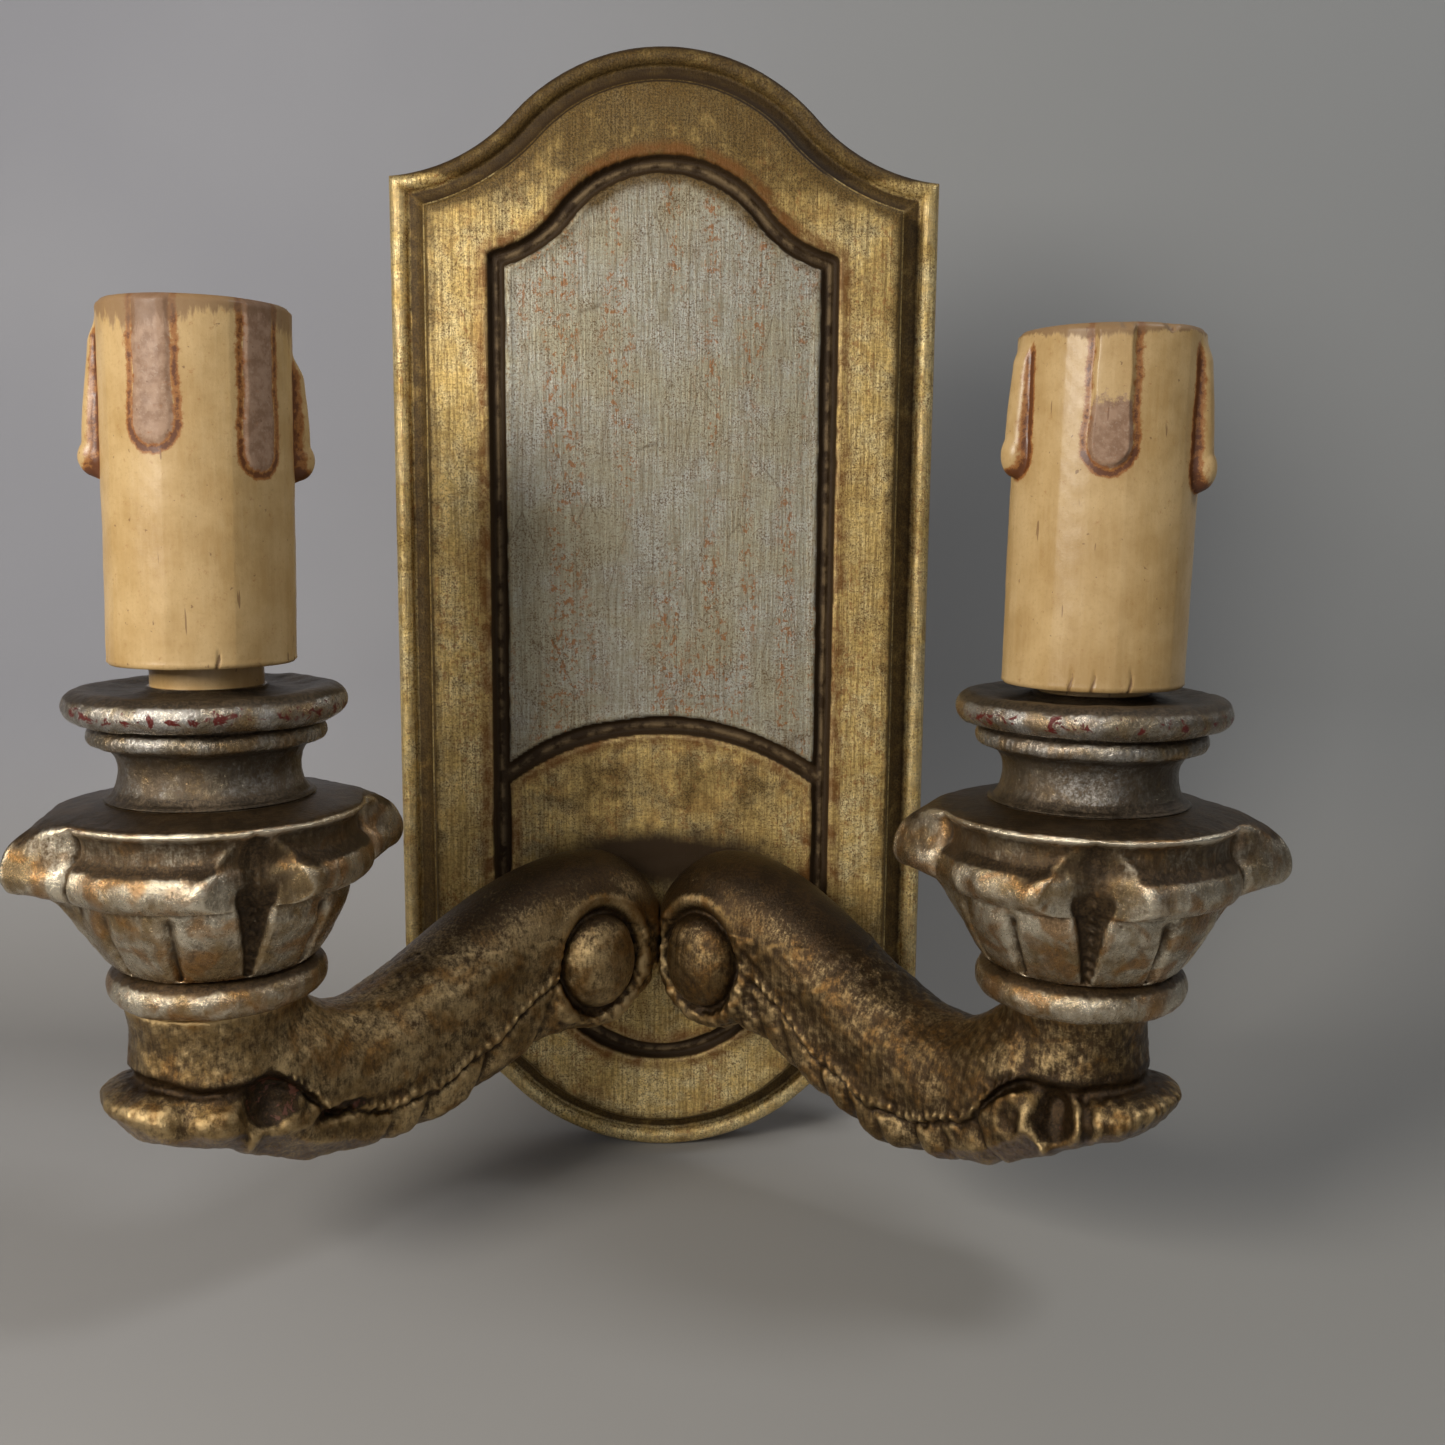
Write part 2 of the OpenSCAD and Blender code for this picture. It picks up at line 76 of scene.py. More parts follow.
def spline(rows, x, steps=12):
    """Values at x on a smooth curve through rows of [x, value, ...]."""
    rows = np.array(rows, float)
    padded = np.vstack([rows[0], rows, rows[-1]])
    t = np.arange(steps)[:, None] / steps
    run = []
    for k in range(len(rows) - 1):
        a, b, c, d = padded[k:k + 4]
        run.append(0.5 * (2 * b + (c - a) * t + (2 * a - 5 * b + 4 * c - d) * t ** 2
                          + (3 * b - a - 3 * c + d) * t ** 3))
    run = np.vstack(run + [rows[-1:]])
    return [np.interp(x, run[:, 0], run[:, i]) for i in range(1, rows.shape[1])]


def ripple(points, size, seed, waves=7):
    """Gentle unevenness from -1 to 1, with features of about the given size."""
    rng = np.random.default_rng(seed)
    total = np.zeros(len(points))
    for _ in range(waves):
        way = rng.normal(size=3)
        way *= 2 * math.pi / (size * rng.uniform(0.7, 1.5) * np.linalg.norm(way))
        total += np.sin(points @ way + rng.uniform(0, 2 * math.pi))
    return total / waves * 1.5


def ripples(points, *rows):
    """Sum of ripples from rows of (depth, size, seed)."""
    return sum(depth * ripple(points, size, seed) for depth, size, seed in rows)


# ---------------------------------------------------------------- meshes

def lattice(rows, cols, closed):
    """Quads of a grid whose columns wrap round, and whose rows do too if closed."""
    r = np.arange(rows if closed else rows - 1)[:, None]
    c = np.arange(cols)[None, :]
    r2, c2 = (r + 1) % rows, (c + 1) % cols
    return np.stack([r * cols + c, r * cols + c2, r2 * cols + c2, r2 * cols + c], -1).reshape(-1, 4)


def face_normals(points, faces):
    return np.cross(points[faces[:, 2]] - points[faces[:, 0]], points[faces[:, 3]] - points[faces[:, 1]])


def point_normals(points, faces):
    each = face_normals(points, faces)
    total = np.stack([np.bincount(faces.ravel(), np.repeat(each[:, i], 4), len(points))
                      for i in range(3)], -1)
    return total / np.maximum(np.linalg.norm(total, axis=1), 1e-9)[:, None]


def outward(points, faces):
    """The same quads, turned over if they face inwards."""
    centre = points[faces].mean(1)
    volume = (face_normals(points, faces) * centre).sum()
    return faces if volume > 0 else faces[:, ::-1]


def soften(points, faces, rounds):
    """Points moved to the average of their neighbours, so many times over."""
    start, end = faces.ravel(), np.roll(faces, -1, 1).ravel()
    count = np.maximum(np.bincount(start, minlength=len(points)), 1)[:, None]
    for _ in range(rounds):
        points = np.stack([np.bincount(start, points[end, i], len(points)) for i in range(3)], -1) / count
    return points


def hollowness(points, faces, rounds):
    """How far each point lies below the softened surface, in millimetres. Ridges are negative."""
    gap = soften(points, faces, rounds) - points
    return (gap * point_normals(points, faces)).sum(1)


def build(name, points, faces, values=None, body="sconce"):
    """Mesh object from points in millimetres, with a number for each point under each name in values."""
    mesh = bpy.data.meshes.new(name)
    placed = points * MM + np.array([0, 0, FLOOR])
    mesh.from_pydata(placed.tolist(), [], faces if isinstance(faces, list) else faces.tolist())
    for key, numbers in (values or {}).items():
        layer = mesh.attributes.new(key, "FLOAT", "POINT")
        layer.data.foreach_set("value", np.asarray(numbers, np.float32))
    mesh.shade_smooth()
    piece = bpy.data.objects.new(name, mesh)
    bpy.context.scene.collection.objects.link(piece)
    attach(piece, body)
    return piece


def surface_net(field, low, step):
    """Closed quad skin around the places where a field sampled on a grid is negative."""
    field, low = np.pad(field, 1, constant_values=step), low - step
    shape = tuple(k - 1 for k in field.shape)
    size = int(np.prod(shape))
    sums, count, quads = np.zeros((3, size)), np.zeros(size), []
    for axis in range(3):
        one, two = (axis + 1) % 3, (axis + 2) % 3
        near = np.take(field, range(field.shape[axis] - 1), axis)
        far = np.take(field, range(1, field.shape[axis]), axis)
        cross = (near < 0) != (far < 0)
        at = np.argwhere(cross)
        crossing = at.astype(float)
        crossing[:, axis] += near[cross] / (near[cross] - far[cross])
        cells = []
        for back_one, back_two in ((1, 1), (0, 1), (0, 0), (1, 0)):
            cell = at.copy()
            cell[:, one] -= back_one
            cell[:, two] -= back_two
            cells.append(np.ravel_multi_index(cell.T, shape))
        flat = np.concatenate(cells)
        count += np.bincount(flat, minlength=size)
        for i in range(3):
            sums[i] += np.bincount(flat, np.tile(crossing[:, i], 4), size)
        quad = np.stack(cells, -1)
        quads.append(np.where((near[cross] < 0)[:, None], quad, quad[:, ::-1]))
    used = count > 0
    number = np.cumsum(used) - 1
    points = (sums[:, used] / count[used]).T * step + low
    return points, number[np.vstack(quads)]


# ---------------------------------------------------------------- node materials

class Look:
    """A node material that is written as nested calls: each call adds a node and returns its output."""

    def __init__(self, name):
        self.material = bpy.data.materials.new(name)
        self.material.use_nodes = True
        self.tree = self.material.node_tree
        self.shader = self.tree.nodes["Principled BSDF"]
        self.place = self.node("ShaderNodeTexCoord").outputs["Object"]

    def node(self, kind, inputs=(), **settings):
        made = self.tree.nodes.new(kind)
        for key, value in settings.items():
            setattr(made, key, value)
        for key, value in dict(inputs).items():
            self.feed(made.inputs[key], value)
        return made

    def feed(self, socket, value):
        if isinstance(value, bpy.types.NodeSocket):
            self.tree.links.new(value, socket)
        elif isinstance(value, tuple) and len(value) == 3 and socket.type == "RGBA":
            socket.default_value = (*value, 1)
        else:
            socket.default_value = value

    def set(self, **sockets):
        for key, value in sockets.items():
            self.feed(self.shader.inputs[key.replace("_", " ")], value)
        return self.material

    def calc(self, operation, a, b, clamp=False):
        made = self.node("ShaderNodeMath", {0: a, 1: b}, operation=operation, use_clamp=clamp)
        return made.outputs[0]

    def plus(self, a, b):
        return self.calc("ADD", a, b)

    def minus(self, a, b, clamp=False):
        return self.calc("SUBTRACT", a, b, clamp)

    def times(self, a, b):
        return self.calc("MULTIPLY", a, b)

    def larger(self, a, b):
        return self.calc("MAXIMUM", a, b)

    def swing(self, a, share=1.0):
        """How far a noise is from its middle, times share."""
        off = self.minus(a, 0.5)
        return off if share == 1.0 else self.times(off, share)

    def value(self, name):
        return self.node("ShaderNodeAttribute", attribute_name=name).outputs["Fac"]

    def stretched(self, x=1.0, y=1.0, z=1.0, turn=(0, 0, 0)):
        made = self.node("ShaderNodeMapping", {"Vector": self.place, "Scale": (x, y, z), "Rotation": turn})
        return made.outputs["Vector"]

    def noise(self, size_mm, detail=3.0, rough=0.55, place=None, warp=0.0):
        made = self.node("ShaderNodeTexNoise", {
            "Vector": place or self.place, "Scale": 1 / (size_mm * MM), "Detail": detail,
            "Roughness": rough, "Distortion": warp})
        return made.outputs["Fac"]

    def cells(self, size_mm, place=None, feature="F1"):
        inputs = {"Vector": place or self.place, "Scale": 1 / (size_mm * MM)}
        return self.node("ShaderNodeTexVoronoi", inputs, feature=feature).outputs["Distance"]

    def between(self, x, low, high):
        """0 below low, 1 above high; low may be the larger, which turns it over."""
        made = self.node("ShaderNodeMapRange", {"Value": x, "From Min": low, "From Max": high},
                         interpolation_type="SMOOTHSTEP")
        return made.outputs["Result"]

    def mix(self, amount, a, b):
        made = self.node("ShaderNodeMix", data_type="RGBA")
        for socket, value in zip((made.inputs[0], made.inputs[6], made.inputs[7]), (amount, a, b)):
            self.feed(socket, value)
        return made.outputs[2]

    def level(self, amount, a, b):
        """A number that goes from a to b as amount goes from 0 to 1."""
        made = self.node("ShaderNodeMix", data_type="FLOAT")
        for socket, value in zip((made.inputs[0], made.inputs[2], made.inputs[3]), (amount, a, b)):
            self.feed(socket, value)
        return made.outputs[0]

    def bump(self, height, depth_mm, strength=1.0, after=None):
        inputs = {"Height": height, "Distance": depth_mm * MM, "Strength": strength}
        if after is not None:
            inputs["Normal"] = after
        return self.node("ShaderNodeBump", inputs).outputs["Normal"]


def aged_leaf(name, bright, tone, warm, dark, bole, bole_at, dirt, speckle, hairy, gloss):
    """Rubbed metal leaf over red bole, darkened by a tone and by dirt in its hollows, with painted shade
    and painted highlights carried in its first value. Values: cavity_and_painted_light, worn, under.
    """
    m = Look(name)
    cavity_and_painted_light, worn, under = m.value("cavity_and_painted_light"), m.value("worn"), m.value("under")
    cloud = m.noise(12, 3, 0.55)
    patch = m.noise(3.6, 4, 0.6, warp=0.5)
    grain = m.noise(0.55, 5, 0.75)
    hair = m.noise(0.7, 3, 0.65, place=m.stretched(1, 1, 0.16, (0.6, 0.35, 0.2)))
    mottle = m.plus(m.times(cloud, 0.6), m.times(patch, 0.4))
    metal = m.mix(m.between(mottle, 0.40, 0.60), tone, bright)
    metal = m.mix(m.times(m.between(m.noise(7, 3, 0.5, warp=0.8), 0.47, 0.64), 0.75), metal, warm)
    uneven = m.plus(m.swing(patch, 0.9), m.swing(hair, hairy))
    uneven = m.plus(uneven, m.swing(grain, speckle))
    shade = m.between(m.plus(m.times(cavity_and_painted_light, 2.4), uneven), -0.40 - dirt, 0.55 - dirt)
    ridge = m.between(m.plus(cavity_and_painted_light, m.swing(grain, 0.35)), -0.05, -0.26)
    shade = m.times(shade, m.minus(1.0, m.times(ridge, 0.75)))
    red = m.plus(m.noise(2.6, 4, 0.65, warp=1.0), m.times(worn, 0.19))
    red = m.between(red, bole_at, bole_at + 0.05)
    dusty = tuple(2.6 * k for k in dark)
    grime = m.mix(m.between(m.plus(grain, m.swing(patch, 0.5)), 0.42, 0.62), dark, dusty)
    colour = m.mix(m.times(ridge, 0.6), m.mix(shade, metal, grime), bright)
    colour = m.mix(red, colour, bole)
    # Pale mauve-grey on faces that look down near the arms' outer ends.
    pale_underside = m.times(under, m.between(grain, 0.3, 0.6))
    colour = m.mix(m.times(pale_underside, 0.8), colour, (0.155, 0.112, 0.092))
    bare = m.larger(m.times(shade, 0.35), m.larger(m.times(red, 0.85), pale_underside))
    height = m.plus(m.times(patch, 0.5), m.times(grain, 0.55))
    height = m.plus(height, m.times(hair, 0.3))
    rough = m.level(shade, m.level(grain, gloss - 0.05, gloss + 0.12), m.level(grain, 0.28, 0.46))
    return m.set(Base_Color=colour, Metallic=m.minus(1.0, bare, True), Roughness=rough,
                 Normal=m.bump(height, 0.45, 0.8))


def gilded_wood():
    """Gold leaf on the frame, silver leaf on the panel. Values: panel, groove, stripe, cavity, toned."""
    m = Look("gilded_wood")
    cavity_and_painted_light, groove, panel, toned_and_shaded = [m.value(key) for key in ("cavity_and_painted_light", "groove", "panel", "toned_and_shaded")]
    cloud = m.noise(22, 4, 0.6)
    patch = m.noise(5, 5, 0.65, warp=0.4)
    streak = m.noise(0.55, 3, 0.6, place=m.stretched(1, 1, 0.045))
    weave = m.noise(0.5, 2, 0.6, place=m.stretched(0.12, 1, 1))
    speck = m.noise(0.45, 3, 0.75)
    gold = m.mix(m.between(patch, 0.35, 0.7), (0.84, 0.60, 0.215), (1.0, 0.84, 0.45))
    gold = m.mix(m.between(cloud, 0.42, 0.68), gold, (0.64, 0.45, 0.155))
    tawny = m.between(m.noise(7, 5, 0.65, warp=0.6), 0.50, 0.64)
    gold = m.mix(m.times(tawny, 0.5), gold, (0.44, 0.24, 0.065))
    silver = m.mix(m.between(patch, 0.3, 0.72), (0.385, 0.37, 0.285), (0.52, 0.52, 0.46))
    silver = m.mix(m.between(cloud, 0.42, 0.62), silver, (0.42, 0.39, 0.275))
    leaf = m.mix(panel, gold, silver)
    # lines along the grain, brown flecks and dots, rows of orange specks, scratches
    lines = m.between(m.plus(m.times(streak, 0.75), m.times(weave, 0.25)), 0.4, 0.66)
    leaf = m.mix(m.times(lines, 0.6), leaf, m.mix(panel, (0.17, 0.10, 0.03), (0.22, 0.17, 0.10)))
    fleck = m.between(m.noise(0.9, 5, 0.8), 0.44, 0.60)
    leaf = m.mix(m.times(fleck, m.level(panel, 0.55, 0.3)), leaf, (0.22, 0.13, 0.045))
    dots = m.between(m.plus(speck, m.times(patch, 0.35)), 0.70, 0.82)
    leaf = m.mix(m.times(dots, 0.75), leaf, (0.12, 0.06, 0.022))
    rows = m.noise(1.1, 3, 0.7, place=m.stretched(1, 1, 0.8))
    bands = m.noise(9, 2, 0.5, place=m.stretched(1, 1, 0.12))
    orange = m.times(m.between(rows, 0.55, 0.61), m.between(bands, 0.46, 0.58))
    leaf = m.mix(m.times(orange, m.level(panel, 0.55, 0.80)), leaf, (0.31, 0.125, 0.04))
    seams = m.cells(7, m.stretched(1, 1, 0.16, (0, 0.9, 0)), "DISTANCE_TO_EDGE")
    scratch = m.between(seams, 0.012, 0.0)
    leaf = m.mix(m.times(scratch, m.level(panel, 0.15, 0.45)), leaf, (0.10, 0.06, 0.03))
    # umber toning, dirt in the hollows, painted shade on the moulding's top and cove and on the field above
    # the arms, and bole beside the groove
    umber = m.between(m.plus(toned_and_shaded, m.swing(patch, 1.6)), 0.10, 0.90)
    brown = m.mix(m.between(speck, 0.4, 0.6), (0.150, 0.085, 0.020), (0.070, 0.042, 0.012))
    leaf = m.mix(m.times(umber, 0.92), leaf, brown)
    shade = m.between(m.plus(m.times(cavity_and_painted_light, 2.4), m.swing(patch, 0.5)), 0.12, 0.75)
    shade = m.larger(shade, m.between(groove, 0.12, 0.5))
    near = m.between(groove, 0.0, 0.12)
    near = m.times(near, m.level(m.between(patch, 0.38, 0.62), 0.25, 1.0))
    near = m.times(near, m.minus(1.0, panel))
    leaf = m.mix(m.times(near, 0.85), leaf, (0.20, 0.080, 0.018))
    # bright worn ridges
    ridge = m.times(m.between(cavity_and_painted_light, -0.06, -0.28), m.minus(1.0, umber))
    ridge = m.times(ridge, m.between(m.noise(7, 3, 0.6), 0.38, 0.60))
    leaf = m.mix(m.times(ridge, 0.8), leaf, (0.92, 0.76, 0.42))
    colour = m.mix(shade, leaf, (0.040, 0.022, 0.008))
    stripe = m.times(m.value("stripe"), m.between(m.noise(4, 4, 0.6), 0.4, 0.6))
    colour = m.mix(m.times(stripe, 0.6), colour, (0.32, 0.22, 0.11))
    height = m.plus(m.times(streak, 0.5), m.times(speck, 0.4))
    height = m.plus(height, m.times(weave, 0.3))
    leafed = m.level(ridge, m.level(umber, 0.38, 0.2), 0.85)
    rough = m.level(shade, m.level(ridge, m.level(streak, 0.36, 0.56), 0.28), 0.6)
    return m.set(Base_Color=colour, Metallic=m.times(m.minus(1.0, shade), leafed), Roughness=rough,
                 Specular_IOR_Level=0.2, Normal=m.bump(height, 0.32, 0.9))


def candle_paint():
    """Ochre paint with burnt outlines and rubbed fills on the drips. Values: outline, rubbed, rim, foot."""
    m = Look("candle_paint")
    outline, rubbed, rim = m.value("outline"), m.value("rubbed"), m.value("rim")
    cloud = m.noise(11, 4, 0.6)
    brush = m.noise(0.9, 3, 0.6, place=m.stretched(1, 1, 0.10))
    grain = m.noise(0.6, 4, 0.7)
    paint = m.mix(m.between(cloud, 0.35, 0.68), (0.50, 0.315, 0.120), (0.63, 0.43, 0.195))
    paint = m.mix(m.times(m.between(brush, 0.35, 0.75), 0.2), paint, (0.72, 0.53, 0.28))
    paint = m.mix(m.times(m.between(grain, 0.5, 0.7), 0.3), paint, (0.42, 0.25, 0.085))
    ragged = m.swing(m.noise(1.5, 5, 0.75), 1.9)
    fill = m.between(m.plus(rubbed, m.times(ragged, 0.7)), 0.30, 0.60)
    mauve = m.mix(m.between(m.noise(2.2, 4, 0.6), 0.35, 0.65), (0.27, 0.150, 0.083), (0.40, 0.250, 0.158))
    mauve = m.mix(m.times(m.between(grain, 0.5, 0.75), 0.5), mauve, (0.52, 0.375, 0.265))
    paint = m.mix(fill, paint, mauve)
    halo = m.between(m.plus(outline, ragged), 0.15, 0.60)
    paint = m.mix(m.times(halo, 0.85), paint, (0.33, 0.110, 0.016))
    core = m.between(m.plus(outline, m.times(ragged, 1.4)), 0.60, 1.05)
    paint = m.mix(m.times(core, 0.85), paint, (0.100, 0.026, 0.007))
    drawn = m.noise(1.6, 4, 0.7, place=m.stretched(1, 1, 0.22))
    top = m.between(m.plus(rim, m.swing(drawn, 1.6)), 0.28, 0.62)
    paint = m.mix(m.times(top, 0.7), paint, (0.20, 0.105, 0.048))
    dots = m.between(m.noise(1.0, 2, 0.5), 0.71, 0.76)
    nicks = m.between(m.noise(1.5, 2, 0.5, place=m.stretched(1, 1, 0.14)), 0.725, 0.75)
    paint = m.mix(m.times(m.larger(dots, nicks), 0.6), paint, (0.16, 0.07, 0.03))
    grime = m.between(m.plus(m.value("foot"), m.times(ragged, 0.6)), 0.5, 0.95)
    paint = m.mix(m.times(grime, 0.7), paint, (0.17, 0.085, 0.035))
    height = m.plus(m.times(brush, 0.4), m.times(grain, 0.5))
    rough = m.level(m.larger(fill, top), m.level(grain, 0.30, 0.46), 0.65)
    return m.set(Base_Color=paint, Roughness=rough, Coat_Weight=0.15, Coat_Roughness=0.25,
                 Normal=m.bump(height, 0.14, 0.5))


def plain_metal(name, colour, dull, rough):
    m = Look(name)
    tarnish = m.between(m.noise(2.5, 5, 0.65, warp=0.5), 0.42, 0.68)
    brushed = m.noise(0.25, 2, 0.5, place=m.stretched(1, 1, 0.1))
    return m.set(Base_Color=m.mix(tarnish, colour, dull), Metallic=0.85,
                 Roughness=m.level(tarnish, m.level(brushed, rough - 0.06, rough + 0.08), rough + 0.25),
                 Normal=m.bump(brushed, 0.03, 0.5))


def plain_plastic(name, colour, faded, rough):
    m = Look(name)
    cloud = m.noise(5, 4, 0.6)
    grain = m.noise(0.35, 2, 0.5)
    return m.set(Base_Color=m.mix(m.between(cloud, 0.4, 0.7), colour, faded),
                 Roughness=m.level(cloud, rough - 0.08, rough + 0.12), Normal=m.bump(grain, 0.03, 0.4))


def bare_wood():
    """Unpainted poplar on the back of the plate, stained with age."""
    m = Look("bare_wood")
    grain = m.noise(1.6, 4, 0.65, place=m.stretched(1, 1, 0.05), warp=1.2)
    fine = m.noise(0.4, 3, 0.6, place=m.stretched(1, 1, 0.03))
    stain = m.noise(30, 4, 0.6)
    colour = m.mix(m.between(grain, 0.35, 0.7), (0.33, 0.20, 0.10), (0.46, 0.30, 0.16))
    colour = m.mix(m.times(m.between(stain, 0.45, 0.75), 0.6), colour, (0.15, 0.09, 0.05))
    colour = m.mix(m.times(m.between(fine, 0.58, 0.7), 0.5), colour, (0.17, 0.10, 0.055))
    return m.set(Base_Color=colour, Roughness=m.level(grain, 0.6, 0.8),
                 Normal=m.bump(m.plus(grain, m.times(fine, 0.5)), 0.15, 0.6))


# ---------------------------------------------------------------- backplate

PLATE_LOW, PLATE_HIGH = box_mm("backplate")
PLATE_W = PLATE_HIGH[0] - PLATE_LOW[0]
PLATE_MID = PLATE_HIGH[2] / 2
FIELD = -PLATE_LOW[1]                       # depth of the raised field in front of the wall
SHOULDER = PLATE_MID - 29.4                 # height of a shoulder above the plate's middle
DOME_R, BASE_R, FLARE_R = 48.5, 53.0, 45.0
GROOVE_HALF_W, GROOVE_APEX = 40.5, PLATE_MID - 25.9
GROOVE_SHOULDER, GROOVE_DOME_R, GROOVE_FLARE_R = PLATE_MID - 47.5, 30.7, 25.0
GROOVE_W, GROOVE_DEPTH = 4.2, 2.1
ARCH_R, ARCH_CROWN = 62.6, 109.5
BOARD_T = 8.5                               # depth of the joint between the board and the moulding
SLAB_T = 15.4                               # depth of the joint between the slab and the carved front


def ogee(w, apex, shoulder, dome, flare, inset, dome_steps, flare_steps):
    """Quarter outline from the apex to the shoulder, [x, height above the middle], moved in by inset."""
    low, tip = np.array([0, apex - dome]), np.array([w, shoulder])
    span, reach = np.linalg.norm(tip - low), dome + flare
    u = (tip - low) / span
    along = (reach ** 2 - flare ** 2 + span ** 2) / (2 * span)
    centre = low + along * u + math.sqrt(reach ** 2 - along ** 2) * np.array([-u[1], u[0]])
    turn = math.atan2(centre[1] - low[1], centre[0] - low[0])
    r1, r2, x = dome - inset, flare + inset, w - inset
    last = math.atan2(-math.sqrt(r2 ** 2 - (x - centre[0]) ** 2), x - centre[0])
    a = np.linspace(math.pi / 2, turn, dome_steps + 1)
    b = np.linspace(turn - math.pi, last, flare_steps + 1)[1:]
    return np.vstack([low + r1 * np.stack([np.cos(a), np.sin(a)], -1),
                      centre + r2 * np.stack([np.cos(b), np.sin(b)], -1)])


def around(up, low, side_steps):
    """Whole outline, clockwise from the apex, from its upper right and mirrored lower right quarters."""
    flip = np.array([1, -1])
    t = np.linspace(0, 1, side_steps + 1)[1:-1, None]
    down = up[-1] + (low[-1] * flip - up[-1]) * t
    right = np.vstack([up, down, (low * flip)[::-1]])
    return np.vstack([right, right[-2:0:-1] * np.array([-1, 1])])


def plate_outline(inset, dome_steps=60, flare_steps=48, side_steps=300):
    quarters = [ogee(PLATE_W / 2, PLATE_MID, SHOULDER, dome, FLARE_R, inset, dome_steps, flare_steps)
                for dome in (DOME_R, BASE_R)]
    return around(*quarters, side_steps)


def groove_outline(inset):
    radii = GROOVE_DOME_R, GROOVE_FLARE_R
    quarter = ogee(GROOVE_HALF_W, GROOVE_APEX, GROOVE_SHOULDER, *radii, inset, 30, 24)
    return around(quarter, quarter, 60)


def distance_to(outline, points):
    """Distance from each point to a closed outline, negative inside it."""
    ends = np.roll(outline, -1, 0)
    best = np.full(len(points), 1e9)
    inside = np.zeros(len(points), bool)
    for a, b in zip(outline, ends):
        way = b - a
        t = np.clip(((points - a) @ way) / (way @ way), 0, 1)
        best = np.minimum(best, np.hypot(*(points - a - t[:, None] * way).T))
        crosses = (a[1] > points[:, 1]) != (b[1] > points[:, 1])
        if a[1] != b[1]:
            inside ^= crosses & (points[:, 0] < way[0] * (points[:, 1] - a[1]) / way[1] + a[0])
    return np.where(inside, -best, best)


def front_section():
    """[inset, depth] from the back of the moulding, over the lip and the cove, and across the field."""
    lip_r, cove_r, edge = 2.2, 4.6, 9.7
    lip = [(0.2 + lip_r - lip_r * math.cos(a), BOARD_T + 0.8 + lip_r * math.sin(a))
           for a in np.linspace(0, math.pi * 0.92, 12)]
    cove = [(edge - 0.4 - cove_r + cove_r * math.sin(a), BOARD_T + 1.5 + cove_r * (1 - math.cos(a)))
            for a in np.linspace(0.12, math.pi / 2, 13)]
    step = [(edge - 0.35, 15.6), (edge - 0.15, 15.9), (edge, 16.4), (edge + 0.05, 17.1), (edge + 0.2, 17.6),
            (edge + 0.5, 17.9), (edge + 0.95, FIELD)]
    plain = [(t, FIELD) for t in np.arange(11.6, 22.4, 0.9)]
    carved = [(t, FIELD) for t in np.arange(22.5, 31, 0.42)]
    inner = [(t, FIELD) for t in np.arange(31.3, 45, 0.65)]
    back = [(0.2, BOARD_T), (4.5, BOARD_T), (9.0, BOARD_T), (9.0, SLAB_T), (20, SLAB_T), (45, SLAB_T)]
    return back, lip + cove + step + plain + carved + inner


